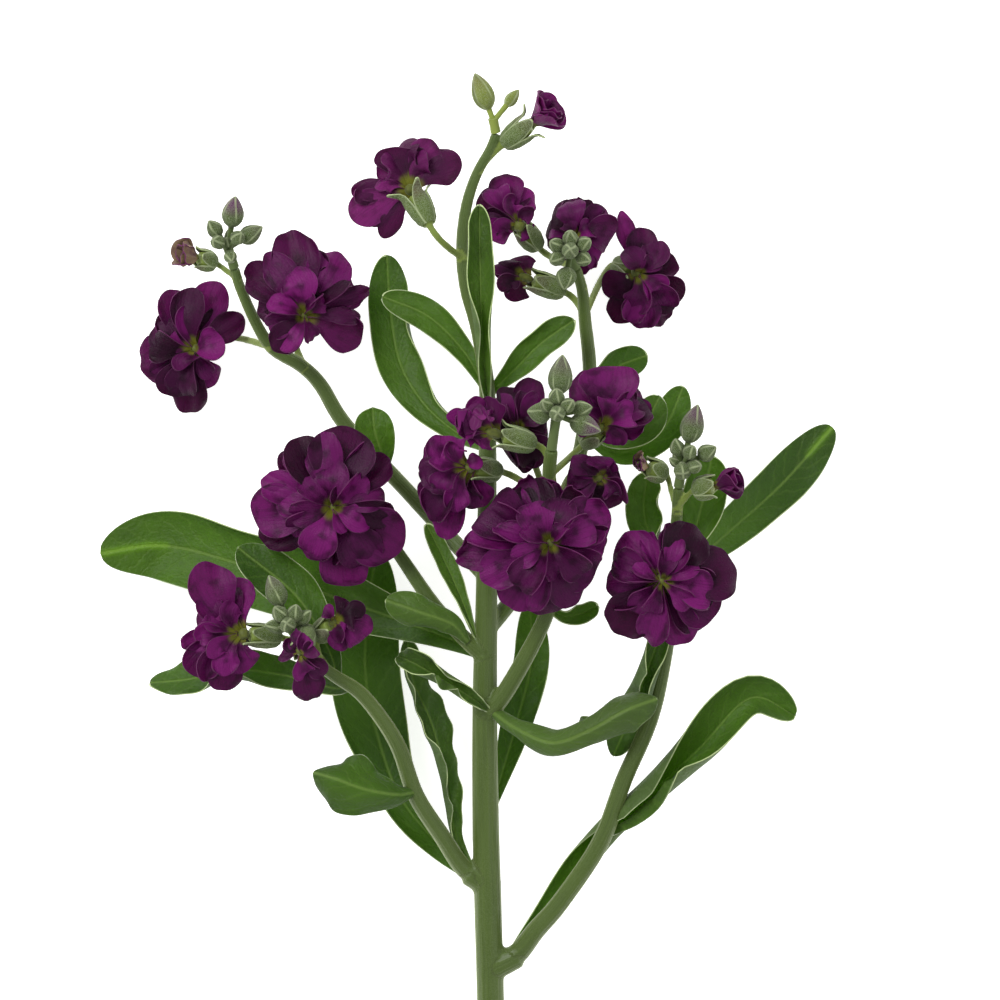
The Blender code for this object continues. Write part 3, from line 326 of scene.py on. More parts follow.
# %% Stem, blooms, buds and leaves
STEMS = {
    "main": (
        (-1, -112, 3.4, 3.45), (-1.2, -80, 4.5, 3.45), (-1.6, -40, 8, 3.4),
        (-2.4, 0, 13, 3.5), (-3, 22, 16.5, 3.5), (-3.6, 45, 20, 3.4),
        (-3.8, 75, 24.5, 3.15), (-3.4, 100, 27.5, 2.8), (-3.2, 130, 29, 2.4),
        (-3.2, 152, 30, 2.1), (-5.5, 167, 30.5, 1.8), (-8.5, 178, 31, 1.7),
        (-9.5, 188, 31, 1.6), (-8.5, 198, 31.5, 1.5), (-6, 206, 32.5, 1.4),
        (-2.5, 212.5, 34, 1.3), (-1, 216.5, 35, 1.2),
    ),
    "low_left": (
        (-3.2, 29.5, 17.5, 2.5), (-9, 32.5, 18.5, 2.4), (-14.7, 41, 23, 2.25),
        (-21, 51, 28, 2.2), (-25, 62.5, 32, 2.1), (-29.3, 70, 34.5, 2),
        (-35, 77, 37, 1.9), (-41, 81, 38.5, 1.7), (-45, 84, 40, 1.5),
        (-48.5, 87.5, 41.5, 1.3),
    ),
    "low_right": (
        (-2.6, 7, 14, 2.6), (3.8, 10.5, 15, 2.7), (9, 17, 17.5, 2.5),
        (15, 24, 20, 2.4), (25, 39, 24.5, 2.3), (31, 55, 28, 2.2),
        (37.5, 70, 30.5, 2.1), (41, 85, 31.5, 1.95), (43, 100, 32, 1.8),
        (43.8, 115, 35, 1.6), (44.5, 128, 40, 1.4),
    ),
    "mid_left": (
        (-3.6, 86, 26, 2.3), (-7.5, 89, 27, 2.1), (-16, 98, 27, 1.95),
        (-25, 111, 26, 1.7), (-31, 119, 25, 1.4),
    ),
    "mid_right": (
        (-3.6, 72, 24.5, 2.4), (0, 75, 27, 2.3), (6, 85, 31, 2.2),
        (11, 95, 34.5, 2), (13.8, 104, 36.5, 1.9), (14.2, 115, 39, 1.8),
        (13.2, 124, 43, 1.8), (12.2, 131, 48, 1.8), (12.8, 137.5, 53, 1.7),
    ),
    "top_left": (
        (-3.5, 106, 27.5, 2.2), (-12, 115, 21, 2.1), (-24, 128, 16, 2.05),
        (-38.8, 143.8, 14, 2), (-45, 153.8, 14.5, 1.9), (-50, 158.8, 15.5, 1.8),
        (-57, 163, 17, 1.7), (-61, 169, 19, 1.5), (-65, 178, 23, 1.4),
        (-66.5, 183, 25.5, 1.3),
    ),
    "top_right": (
        (-3.6, 92, 26.5, 2.2), (3, 100, 22, 2.1), (12, 112, 17, 2),
        (18, 128, 15, 1.95), (21.5, 145, 16, 1.9), (22.5, 157.5, 19, 1.85),
        (21.3, 170, 22, 1.7), (20.6, 177.5, 25, 1.5), (19, 183, 28.5, 1.35),
    ),
    "low_left_collar": ((-3.6, 29, 17, 3.4), (-8.2, 31.4, 18.2, 3)),
    "low_right_collar": ((-1.5, 7.6, 14.2, 3.4), (4.6, 10.6, 15.2, 3.1)),
}

# Petal layers of half-open and shut blooms: how many, their angle from the bloom's axis at the claw
# and at the tip, their length, and their half width, both as shares of the bloom's radius.
FORMS = {
    "half": ((3, 26, 40, 1, 0.50), (1, 4, 12, 0.95, 0.34)),
    "shut": ((3, 26, 4, 1, 0.56),),
}
# Petals that fill the half-open and shut blooms between those of the solid.
FILLERS = {
    "half": ((4, 16, 30, 0.92, 0.40), (3, 8, 20, 0.80, 0.30)),
    "shut": ((3, 16, 0, 0.92, 0.44),),
}
# Width and height of the small core that the claws of the petals stand in, as shares of the radius.
CORES = {"full": (0.115, 0.115), "open": (0.13, 0.13), "small": (0.18, 0.15), "half": (0.22, 0.42),
         "shut": (0.30, 0.50)}

# Blooms: eye, direction it faces, radius, form, and the point of the stem its stalk leaves.
BLOOMS = {
    "bloom_top_left_1": ((-75.5, 163.5, 10.5), (-0.55, -0.25, 0.80), 16, "open", (-58, 163.5, 17.2)),
    "bloom_top_left_2": ((-50, 171, 24), (0.30, 0.10, 0.95), 17, "open", (-49, 158, 15.3)),
    "bloom_top_left_3": ((-75.5, 185.5, 26), (-0.75, 0.20, 0.60), 6.5, "shut", (-65.8, 180.5, 24.2)),
    "bloom_top_1": ((-21.5, 201, 35), (-0.42, 0.80, -0.30), 16, "open", (-9.3, 185.5, 31)),
    "bloom_top_2": ((7.4, 218.6, 37.5), (0.75, 0.55, 0.36), 9.5, "half", (-5.5, 207, 32.7)),
    "bloom_top_right_1": ((5.5, 193, 26), (-0.45, 0.50, 0.74), 13.5, "small", (19, 183, 28.3)),
    "bloom_top_right_2": ((18.5, 189.5, 22), (0.10, 0.40, 0.90), 14, "small", (20.6, 178, 25.2)),
    "bloom_top_right_3": ((33.5, 182.5, 11), (0.45, -0.20, 0.85), 15.5, "open", (21.2, 171, 22.3)),
    "bloom_top_right_4": ((8.5, 180, 24), (-0.85, 0.32, 0.42), 10, "half", (21, 171, 22)),
    "bloom_mid_right_1": ((12.5, 114.5, 52), (-0.06, -0.06, 1), 22, "full", (14, 112, 38.5)),
    "bloom_mid_right_2": ((-6.5, 133, 43), (-0.72, 0.10, 0.68), 15, "open", (13.2, 124, 43)),
    "bloom_mid_right_3": ((0.8, 141, 51), (-0.90, 0.25, 0.35), 12, "half", (12.3, 131.5, 48.2)),
    "bloom_mid_right_4": ((24.5, 142.5, 43), (0.35, 0.35, 0.85), 15, "open", (12.3, 131, 48)),
    "bloom_mid_right_5": ((24, 131, 39), (0.50, -0.10, 0.85), 12, "small", (13.6, 122, 42)),
    "bloom_mid_right_6": ((5, 142.5, 41.5), (-0.10, 0.15, 0.98), 12, "small", (13.6, 120, 41)),
    "bloom_mid_left_1": ((-41.5, 123.5, 34), (-0.08, -0.10, 1), 20, "full", (-31, 119, 25)),
    "bloom_low_left_1": ((-62.5, 91.5, 38), (-0.85, 0.10, 0.50), 16, "open", (-46.5, 85.5, 40.7)),
    "bloom_low_left_2": ((-49.5, 88, 48.5), (-0.15, -0.55, 0.82), 9, "small", (-44.5, 83.6, 39.8)),
    "bloom_low_left_3": ((-42, 94, 43), (0.40, 0.35, 0.85), 9, "small", (-42, 81.7, 38.8)),
    "bloom_low_right_1": ((40, 105.3, 46), (0.05, -0.12, 1), 20, "full", (43, 101, 32.2)),
    "bloom_low_right_2": ((53, 128.5, 44), (0.90, 0.20, 0.40), 7.5, "shut", (44.2, 123, 38)),
    "bloom_low_right_3": ((37, 133, 40), (-0.80, 0.30, 0.50), 7, "shut", (44.2, 122, 37.6)),
}

# Petals of the open blooms: x and y of the tip, its height over the bloom's eye, width, how far the
# middle arches towards the bloom's front, and its roll in degrees.
PETALS = {
    "bloom_top_left_1": (
        (-82.5, 178.5, 0, 10, 2, 10), (-70.5, 181, -1, 10.5, 1.5, 0),
        (-63.5, 171.5, 1, 8, 1.5, 10), (-86.5, 169.5, 2, 10, 2, -10),
        (-90.5, 159.5, -1, 13, 2, 5), (-82, 150.5, 0, 12, 2, -5),
        (-78, 146, -3, 9.5, 1.5, 5), (-71.5, 153.5, -1.5, 8.5, 1.5, 0)),
    "bloom_top_left_2": (
        (-53, 192, 0, 13, 2.5, 0), (-64.5, 183.5, -1, 10.5, 2, 8),
        (-40.5, 187.5, 0.5, 12.5, 2.5, -8), (-36.5, 180, -2.5, 10, 2, 0),
        (-32, 177.5, 0, 5.5, 2, 20), (-34.5, 164.5, -1, 10.5, 2, 5),
        (-57, 162.5, 3, 9, 3, -10), (-61, 174, -2.5, 9, 1.5, 0)),
    "bloom_top_1": (
        (-25.5, 213, 0, 13.5, 2, 0), (-37.5, 201, -2, 6.5, 1.5, 15),
        (-37.5, 194, -1, 10, 1.5, -10), (-15.5, 213.5, -1, 10, 1.5, 10),
        (-9.5, 209.5, -1, 10, 1.5, -10), (-29.5, 190, -3, 6, 1, 0)),
    "bloom_top_right_1": (
        (1, 207, 1, 9.5, 1.5, 0), (-5.5, 201.5, -1, 8.5, 1, 0),
        (9, 202, 0, 8, 1.5, 10), (-3, 190.5, -1, 8.5, 1, 0),
        (10.5, 188.5, -1, 8, 1, 0)),
    "bloom_top_right_2": (
        (12.5, 199, 0, 10, 1.5, 0), (20, 200.5, -1, 10, 1.5, 5),
        (28, 196.5, 0, 10, 1.5, 0), (9.5, 192, -2, 9, 1, 0),
        (28, 184.5, 0, 10, 1.5, 0), (16, 176, -3, 7, 1, 0)),
    "bloom_top_right_3": (
        (29.5, 198, -1, 5.5, 1.5, 10), (35.5, 193.5, 0, 8.5, 1.5, 0),
        (43, 187, -1, 10, 1.5, 0), (45, 174.5, -2, 11, 2, 5),
        (40.5, 168.5, -3, 11, 1.5, -5), (35, 168, 0, 10.5, 2, 0),
        (28.5, 169.5, -2, 8.5, 1.5, 0), (25.5, 178, 0, 8.5, 1.5, 0)),
    "bloom_top_right_4": (
        (0.5, 180, 0, 8.5, 1.5, 0), (0, 186, 0.5, 8.5, 1.5, 10),
        (4, 174.5, 0, 7, 1, 0), (7, 189, -1, 8.5, 1, 0)),
    "bloom_mid_right_1": (
        (-8, 126, 1.5, 15, 3, 10), (-13, 114.5, -2, 14.5, 2, -8),
        (-5.5, 105.5, 1, 11, 3, -10), (2, 98, -1.5, 13.5, 2, 5),
        (10, 96, -3, 13.5, 2, 0), (21.5, 99.5, -1, 15.5, 2.5, -8),
        (29, 108, -2.5, 14.5, 2, 10), (30.5, 119, -0.5, 17, 2.5, -8),
        (25.5, 128, -3, 14.5, 1.5, 8), (-1, 134, -4, 12.5, 2, 0),
        (10, 134, -5.5, 12.5, 1.5, 0)),
    "bloom_mid_right_2": (
        (-13.5, 141, 0, 12.5, 2, 10), (-19.5, 133.5, -1, 12.5, 2, 0),
        (-18.5, 128, 3, 9, 2, 15), (-20, 122.5, -2, 9.5, 2, -10),
        (-14.5, 114.5, -3, 10, 2, 10), (-4.5, 122.5, -4, 10, 1, 0)),
    "bloom_mid_right_3": (
        (-11, 141, 1, 12.5, 2.5, 10), (-6.5, 146.5, 4, 9.5, 2, -20),
        (-8.5, 148.5, -2, 9, 1, 15), (-0.5, 150.5, -2, 9, 1, 0),
        (-4.5, 136, 1.5, 6.5, 1.5, 10)),
    "bloom_mid_right_4": (
        (26.5, 158.5, 1, 16, 3, 0), (34, 153.5, -1.5, 12.5, 2, 10),
        (38.5, 144, -0.5, 13.5, 2, -8), (34.5, 137, -2.5, 11, 1.5, 5),
        (18.5, 156.5, -1, 10, 2, -10)),
    "bloom_mid_right_5": (
        (18, 137, 1, 9.5, 1.5, 0), (28.5, 138.5, 1, 10, 1.5, 0),
        (32.5, 130.5, 0, 10, 1.5, 0), (26, 122.5, -1, 10, 1, 0),
        (16.5, 126.5, 0, 9, 1, 0)),
    "bloom_mid_right_6": (
        (1.5, 154, 1, 8, 1.5, 10), (9, 155, 0, 9, 1.5, 0), (14, 146.5, 0, 9, 1.5, -10),
        (12, 134, -1.5, 10, 1.5, 0), (4, 130.5, -2, 10, 1.5, 0), (-4.5, 135, -1.5, 9, 1.5, 0),
        (-4.5, 147.5, 0, 9, 1.5, 0)),
    "bloom_mid_left_1": (
        (-38, 143.5, 1, 18, 3.5, 0), (-51, 141, 0.5, 13, 2.5, 15),
        (-54.5, 138, -3, 10, 1.5, 10), (-62.5, 122.5, -1, 14.5, 2, -10),
        (-60, 115.5, -3, 12.5, 1.5, 10), (-50, 111.5, -1.5, 14.5, 2.5, 10),
        (-37.5, 101, -3, 13, 1.5, 0), (-25, 113, 0, 17, 2.5, 10),
        (-26.5, 136, 0.5, 9, 2, -20), (-25.5, 121, 3.5, 9, 3, 30)),
    "bloom_low_left_1": (
        (-72.5, 109.5, 1, 13, 2.5, 5), (-64, 106, -1, 9, 1.5, -10),
        (-75.5, 97, -2, 8, 1, 0), (-74.5, 93, 4, 9, 2.5, 10),
        (-79, 88, 0, 7.5, 2, -10), (-76.5, 81, 0, 10.5, 2, 10),
        (-69.5, 76.5, -2, 9.5, 1.5, 0), (-63, 82, 0, 10, 1.5, 0)),
    "bloom_low_left_2": (
        (-46, 75.5, -2, 9, 1.5, 0), (-55, 88, 0, 5.5, 1, 15),
        (-50, 95, 0, 5.5, 1, -15), (-42.5, 82, -1, 6, 1, 10)),
    "bloom_low_left_3": (
        (-37, 99.5, 0.5, 9.5, 1.5, 0), (-33, 90.5, 0, 10, 1.5, 0),
        (-40.5, 87, -1, 6.5, 1, 0)),
    "bloom_low_right_1": (
        (29.5, 116, -1, 12.5, 1.5, 5), (41.6, 119.5, 2, 5.5, 2, 55),
        (49, 119, 1, 13.5, 3, 5), (60, 108, -0.5, 15, 2.5, -5),
        (54.5, 97, -1.5, 13.5, 2, 8), (46.5, 88.5, -3, 11, 1.5, 0),
        (28, 92, -2, 13.5, 2, -5), (25.5, 104.5, -2, 10, 1.5, 0)),
}

# Small folded petals round the eye: x and y of the tip from the eye, its height over the eye,
# width, how far the middle arches, and its roll in degrees.
INNER = {
    "bloom_top_left_1": (
        (-2.3, -4.3, 5, 8, 1.5, 20), (6.8, 1.5, 4, 9, 2, -15), (-3, 10.5, 2, 7, 2, 25),
        (-9, 2.5, 3, 7, 2, -20), (3.5, -8, 1, 5, 1, 10)),
    "bloom_top_left_2": (
        (-5.5, -8.5, 4, 8, 3, 20), (2.5, -7, 3, 5, 2, -35), (-8.5, 4, 5.5, 7.5, 3, 30),
        (-2, 11, 5.5, 10, 3.5, -12), (6, 4, 5, 6, 2.5, 40), (2, 5.5, 6.5, 5, 2, -30),
        (-9, -2, 3, 6, 2, -20)),
    "bloom_top_1": (
        (-7, 7, 3, 8, 2, 20), (4, 9, 2, 7, 2, -15), (-9, 0.5, 1, 5, 2, 30)),
    "bloom_top_right_1": (
        (-2, 6.5, 3, 6, 2, 20), (-5, -1.5, 2.5, 5.5, 2, -20), (3.5, 3, 2.5, 5, 2, 15)),
    "bloom_top_right_2": (
        (-2, 5, 3, 6, 2, 20), (4.5, 3, 3, 6, 2, -20), (1, -5, 2, 6, 2, 15)),
    "bloom_top_right_3": (
        (-2.5, 6, 4, 7.5, 3, 25), (5.5, -5, 3, 8, 2.5, -20), (0, -9.5, 2.5, 8, 2.5, 15),
        (5, 4, 3, 6, 2, 30)),
    "bloom_mid_right_1": (
        (-15, 3.8, 6, 6, 3, 30), (-10, -4.3, 6.5, 6.5, 3, -25), (-7.5, 3.3, 8, 5.5, 2.5, 35),
        (4, 4.3, 7, 5, 2.5, -40), (-5, 10.8, 4.5, 11, 3, 10), (3.5, 11.5, 4, 10, 3, -15),
        (-8.3, -11.8, 5, 10, 4, 10), (9.5, -8, 3, 9, 3, 20), (1.5, -9.5, 3.5, 7, 2.5, -25),
        (11.5, 5, 3.5, 9, 3, 15), (-17, 9, 2, 9, 3, -15)),
    "bloom_mid_right_2": (
        (-8.8, 2, 5, 7, 2.5, 25), (3, 2, 3, 5, 1.5, -20), (-8, -6, 4.5, 7, 2.5, 20),
        (-4, -11.5, 2, 7, 2, -15), (-4, 6, 3.5, 6.5, 2, 15)),
    "bloom_mid_right_3": (
        (-8.5, 4, 4.5, 8, 2.5, 25), (-4.3, 6.5, 4.5, 8, 2, -20), (-9, -2, 3, 7, 2, -15)),
    "bloom_mid_right_4": (
        (3, 8, 4, 9, 3, 20), (8.5, 3, 4, 8, 3, -25), (-3.5, 7, 3, 7, 2, 30),
        (4.5, -4.5, 2.5, 7, 2, 15), (10.5, 6.5, 2, 8, 2.5, -10), (-6, 0.5, 1, 7, 2, 10)),
    "bloom_mid_right_5": (
        (4, 1, 3, 5, 1.5, 20), (-4, 4, 2.5, 6, 1.5, -20), (4.5, -5, 2, 6, 1.5, 15),
        (-7, -4, 0, 7, 1.5, 10), (9, 5, 0, 8, 1.5, -10)),
    "bloom_mid_right_6": (
        (-2, 6.5, 3, 6, 2, 25), (4.5, 4, 3, 6.5, 2, -20), (-1, -6, 2.5, 6, 2, 15),
        (1, 9.5, 3.5, 5, 2, 35)),
    "bloom_mid_left_1": (
        (-4.5, -12.5, 3.5, 10, 3.5, 15), (-10.5, -2, 4, 8, 3, -25), (-8, 7.5, 4, 8, 3, 30),
        (0.5, 11, 5, 9, 3.5, -20), (8.5, 7.5, 4.5, 7.5, 3, 25), (9.5, -4, 4, 8, 3, -20),
        (1.5, 4.5, 6.5, 4.5, 2, 40), (3, -6.5, 5, 5, 2, -35), (-15, 2.5, 1.5, 10, 2.5, 10)),
    "bloom_low_left_1": (
        (-8.5, 4.5, 4.5, 7, 2.5, 25), (-7.5, -6, 4, 7, 2.5, -25), (-3, 8, 3, 7, 2, 15),
        (-5, -10.5, 2, 7, 2, 10)),
    "bloom_low_left_2": (
        (1.5, 4.5, 2, 4.5, 1.5, 25), (1, -6.5, 1.5, 6, 1.5, -15), (4, 1.8, 2, 5, 1.5, 20)),
    "bloom_low_left_3": (
        (-2.5, 3.5, 2, 4.5, 1.5, 25), (4.5, 0, 2, 6, 1.5, -15), (1, -4.5, 1.5, 5, 1.5, 20)),
    "bloom_low_right_1": (
        (-7.3, 3.8, 4, 5, 2.5, 35), (9.3, 3.8, 4, 5.5, 2.5, -30), (7.8, -6.5, 3.5, 6, 2.5, 25),
        (-3.5, -7.8, 3.5, 6, 2.5, -35), (-9.8, 1, 2.5, 5, 2, 40), (-7.8, -7.3, 1.5, 6, 2, -20),
        (1.5, 7.5, 4.5, 6, 2.5, 25), (13.5, -2.5, 2, 10, 2.5, 10), (5, 9, 2.5, 8, 2.5, -15)),
}
WITHERED = ("bloom_top_left_3", "bloom_low_right_3")

# Bud clusters: the branch that carries them, the hub they spring from, and each bud's tip,
# length, radius and the share of its tip that is coloured.
BUDS = {
    "buds_top": ("main", (-1.6, 219.5, 36), (
        ((-6.3, 231.5, 37.5), 10, 3, 0.3), ((4.8, 227.5, 34.5), 5.5, 1.7, 0))),
    "buds_top_left": ("top_left", (-68, 188, 28), (
        ((-66, 200.8, 36), 9, 3, 1), ((-72.8, 194.8, 33), 5.5, 2.2, 0),
        ((-59.3, 193.3, 31), 7, 2.6, 0.2), ((-71.5, 190, 36.5), 5, 2, 0),
        ((-64.5, 191.5, 36.5), 5, 2, 0), ((-67, 184.5, 34.5), 4.5, 1.8, 0))),
    "buds_top_right": ("top_right", (17.5, 186.5, 32), (
        ((17.5, 192, 40), 5, 2.1, 0), ((12.5, 189.5, 38.5), 5, 2.1, 0),
        ((22.5, 190, 38.5), 5, 2.1, 0), ((17.5, 187.5, 42), 5.5, 2.3, 0),
        ((12.5, 184.5, 38.5), 5, 2.1, 0), ((22.5, 184.5, 38.5), 5, 2.1, 0),
        ((16, 177.5, 35), 6, 2.8, 0))),
    "buds_mid_right": ("mid_right", (14, 146, 58), (
        ((15.5, 161, 61), 10.2, 3.3, 0.4), ((6.7, 147, 60), 6.2, 3, 0),
        ((22.9, 148, 60), 5.2, 2.5, 0), ((25, 142, 60.5), 8.4, 3, 1),
        ((14, 152.5, 65), 5, 2.2, 0), ((10.5, 149.5, 65.5), 4.8, 2, 0),
        ((18, 149.5, 65.5), 4.8, 2, 0), ((14.2, 146.5, 67.5), 5, 2.2, 0))),
    "buds_low_left": ("low_left", (-52, 93, 43.5), (
        ((-57.5, 106.3, 46), 8.5, 3, 0.3), ((-56, 98.5, 50), 5.5, 2.2, 0),
        ((-50.5, 99, 49.5), 5.5, 2.2, 0), ((-47, 97.5, 47), 5, 2, 0),
        ((-58.5, 94, 47), 5.5, 2, 0), ((-53, 94.5, 51.5), 5, 2.2, 0))),
    "buds_low_right": ("low_right", (45.2, 133, 42), (
        ((49.2, 148.8, 47), 10.4, 3.2, 0.8), ((43.6, 140.3, 46.5), 5, 2.1, 0),
        ((53.8, 138.2, 46), 5.5, 2.4, 0), ((48, 138.5, 49), 4.8, 2, 0),
        ((45.5, 131.5, 48.5), 5, 2.4, 0), ((50, 133.5, 48), 4.5, 2, 0))),
}

# Leaves: middle line from root to tip, width, lift of the left and right half in degrees, edge
# wave (height, number of waves), turn of the blade round its middle line at root and tip, and
# how grey its felt is.
LEAVES = {
    "leaf_low_left_long": (
        ((-6, 87.5, 24), (-20, 93, 20), (-40, 100, 14), (-66, 109, 6.5),
         (-85, 113.5, 0), (-101, 111.5, -2.5)), 20.5, (8, 8), (0.6, 2), (0, 0), 0.1),
    "leaf_low_left_dark": (
        ((-40.5, 80.5, 37.5), (-43, 88, 33.5), (-51, 101, 29.5), (-65.5, 113, 27)),
        12.5, (12, 8), (0.6, 1.5), (25, 10), 0),
    "leaf_low_left_forked": (
        ((-37, 78.5, 36.5), (-42, 78, 31), (-54, 81, 25), (-67, 82.5, 21.5), (-78, 80, 19.5),
         (-88, 79, 18)), 11, (18, -12), (1.2, 2.5), (0, 25), 0.2),
    "leaf_low_left_broad": (
        ((-5, 29.5, 15), (-15, 38, 12), (-25, 50, 8.5), (-31, 66, 6),
         (-34, 82, 5), (-33, 100, 4.5), (-31, 112, 4)), 18.5, (10, 10), (0.8, 2), (0, 0), 0.2),
    "leaf_low_left_narrow": (
        ((-6.5, 31, 20), (-11, 40, 18), (-13.5, 54, 17), (-17, 68, 15),
         (-22, 80, 12.5), (-23.5, 90, 11.5)), 9, (30, 8), (1.4, 3), (15, 25), 0.5),
    "leaf_low_left_cup": (
        ((-21, 52, 30), (-26, 51.5, 35), (-34, 53, 38), (-41, 55.5, 38.5),
         (-46.5, 57, 36)), 18, (-48, -48), (0.6, 1.5), (0, 15), 0.3),
    "leaf_mid_left_small": (
        ((-8, 89.5, 29.5), (-12, 94, 33), (-20, 97, 34), (-28.5, 100, 32.5)),
        9.5, (-20, -20), (0.4, 1.5), (10, 0), 0.8),
    "leaf_stem_left_curled": (
        ((-3, 72.5, 27), (-7, 75.5, 31), (-15, 80.5, 33), (-21, 84, 34),
         (-25.5, 86, 31)), 8.5, (38, 38), (0.9, 2.5), (0, 10), 0.3),
    "leaf_stem_right_twisted": (
        ((-2, 72, 27), (4, 68, 33), (13, 64.5, 38), (22, 67.5, 42),
         (31, 72.5, 44), (39, 75.5, 42.5)), 17, (-42, -46), (1.8, 2.2), (10, -15), 1),
    "leaf_low_right_hanging": (
        ((42, 101, 34), (40, 92, 37), (36.8, 82.5, 34.5), (33, 72, 29),
         (28.5, 61, 27.5)), 10.5, (20, 20), (0.9, 2.5), (-10, 10), 0.5),
    "leaf_low_right_long": (
        ((2, 9, 12), (10, 19.5, 11.5), (19, 31.5, 13.5), (28, 42.5, 18),
         (38, 51.5, 23), (50, 63, 28), (62.5, 75.5, 31), (74, 71, 27)),
        17.5, (34, 52), (1, 3), (0, 0), 0.3),
    "leaf_right_far": (
        ((43.5, 104, 32.5), (48, 109, 26), (57, 116.5, 16), (71, 129, 4),
         (84, 143.5, -2.5)), 12.5, (12, 8), (0.6, 2.5), (0, 0), 0.2),
    "leaf_right_behind_1": (
        ((21, 143, 16), (29, 141.5, 23), (36, 144, 25.5), (40, 151, 25)),
        9.5, (12, 12), (0.4, 1.5), (0, 0), 0.1),
    "leaf_right_behind_2": (
        ((21, 141, 16), (31, 137, 17), (41, 143, 17), (46, 153.5, 17)),
        9.5, (8, 8), (0.4, 1.5), (0, 0), 0.1),
    "leaf_right_bud_1": (
        ((43.6, 110, 33.5), (48.5, 117, 30), (51, 126, 29), (53, 136, 30)),
        12, (10, 14), (0.6, 2), (0, 0), 0.2),
    "leaf_right_bud_2": (
        ((43.4, 108, 33), (38, 115, 28), (36, 123, 27), (37, 132, 27)),
        10, (14, 10), (1, 2.5), (0, 0), 0.6),
    "leaf_top_left_long": (
        ((-3.4, 138, 29), (-11, 142, 24), (-19, 149, 20), (-25, 159, 17),
         (-27.5, 172, 16), (-28.5, 186.5, 16.5)), 12.5, (16, 8), (0.8, 2.5), (0, 0), 0.5),
    "leaf_top_left_short": (
        ((-3.4, 152, 30), (-9, 162, 28), (-18, 171, 27), (-29.5, 176, 26)),
        8.5, (18, 10), (0.5, 2), (0, 0), 0.3),
    "leaf_top_upright": (
        ((-3.2, 150, 31), (-3.8, 157, 36), (-4.6, 170, 38.5), (-5, 185, 40),
         (-5.2, 198.5, 40)), 11, (46, 46), (0.9, 3), (0, 0), 0.6),
    "leaf_top_right_short": (
        ((-3.3, 151, 29), (3, 157, 30), (10, 164, 31), (18.5, 170, 32)),
        8.5, (10, 18), (0.5, 2), (0, 0), 0.3),
    "leaf_top_right_dark": (
        ((22.2, 152, 18), (25, 155.5, 14), (30.5, 159, 11), (37, 161.5, 9)),
        8.5, (8, 8), (0.4, 1.5), (0, 0), 0),
    "leaf_top_left_round": (
        ((-28.5, 133, 15.4), (-30, 137.5, 19.5), (-31.5, 142.5, 20.5), (-32, 148, 20)),
        10, (8, 8), (0.3, 1.5), (0, 0), 0.1),
    "leaf_stem_back": (
        ((-2.5, 46, 18), (0.5, 56, 14), (4.5, 70, 12), (8, 85, 11),
         (7.5, 99, 10.5)), 9.5, (8, 16), (0.9, 3), (0, 0), 0.2),
    "leaf_mid_right_small": (
        ((12, 98, 35), (16, 96, 33), (20, 96.5, 31), (24.5, 98.5, 30)),
        6.5, (36, 36), (0.4, 1.5), (0, 0), 0.4),
    "leaf_mid_left_narrow": (
        ((-6, 90.5, 28), (-10, 101, 27.5), (-14.5, 111, 25.5), (-18.5, 119, 24)),
        5.5, (24, 24), (0.3, 2), (20, 10), 0.4),
}
print(len(BLOOMS), "blooms,", len(BUDS), "bud clusters,", len(LEAVES), "leaves")

# %% [markdown]
# A blade, be it leaf, petal or sepal, starts as one flat grid. Each copy of it is shaped by a
# function of two shares, from root to tip and from edge to edge, as a hand would bend a cut-out.
# It also stores millimetres and shares on its points, for the materials. A wall then gives it
# its thickness, with the back and the edge in materials of their own.

# %% Lines and blades
UP = np.array((0.0, 0.0, 1.0))
THINNEST = 0.35             # the wall of a leaf far from its rib, as a share of the wall there


def unit(vectors):
    vectors = np.asarray(vectors, dtype=float)
    return vectors / np.maximum(np.linalg.norm(vectors, axis=-1, keepdims=True), 1e-9)


def sides(axis, skew=(0.31, 0.22, 0.93)):
    """Two directions square to an axis and to each other; no axis lies along skew."""
    side = unit(np.cross(axis, skew))
    return side, np.cross(axis, side)


def round_axis(centre, axis, level, girth, angle):
    """Places round an axis: how far along it they lie, how far out and at which angle."""
    side, over = sides(axis)
    return (np.array(centre) + level[:, None] * axis
            + (girth * np.cos(angle))[:, None] * side + (girth * np.sin(angle))[:, None] * over)


def wave(turns):
    """The sine of a number of whole turns."""
    return np.sin(2 * np.pi * turns)


def roll(side, along, angle):
    """Turns a direction that is square to a line about that line."""
    return side * np.cos(angle) + np.cross(along, side) * np.sin(angle)


def draws(draw, *ranges):
    """One random number from each range, in turn."""
    return [draw.uniform(low, high) for low, high in ranges]


def smooth_rows(rows, steps):
    """Points of a Catmull-Rom curve through the rows, steps to a span."""
    rows = np.array(rows, dtype=float)
    ends = np.vstack([2 * rows[0] - rows[1], rows, 2 * rows[-1] - rows[-2]])
    points = []
    for span in range(len(rows) - 1):
        a, b, c, d = ends[span:span + 4]
        for step in range(steps):
            t = step / steps
            points.append(0.5 * (2 * b + (c - a) * t + (2 * a - 5 * b + 4 * c - d) * t ** 2
                                 + (3 * b - a - 3 * c + d) * t ** 3))
    points.append(rows[-1])
    return np.array(points)


def along_line(rows, shares):
    """Places and directions at shares of a smooth line's length."""
    fine = smooth_rows(rows, 16)
    steps = np.linalg.norm(np.diff(fine, axis=0), axis=1)
    reach = np.concatenate([[0.0], np.cumsum(steps)]) / steps.sum()

    def at(share):
        share = np.clip(share, 0, 1)
        return np.stack([np.interp(share, reach, column) for column in fine.T], axis=1)

    return at(shares), unit(at(shares + 0.02) - at(shares - 0.02)), steps.sum()


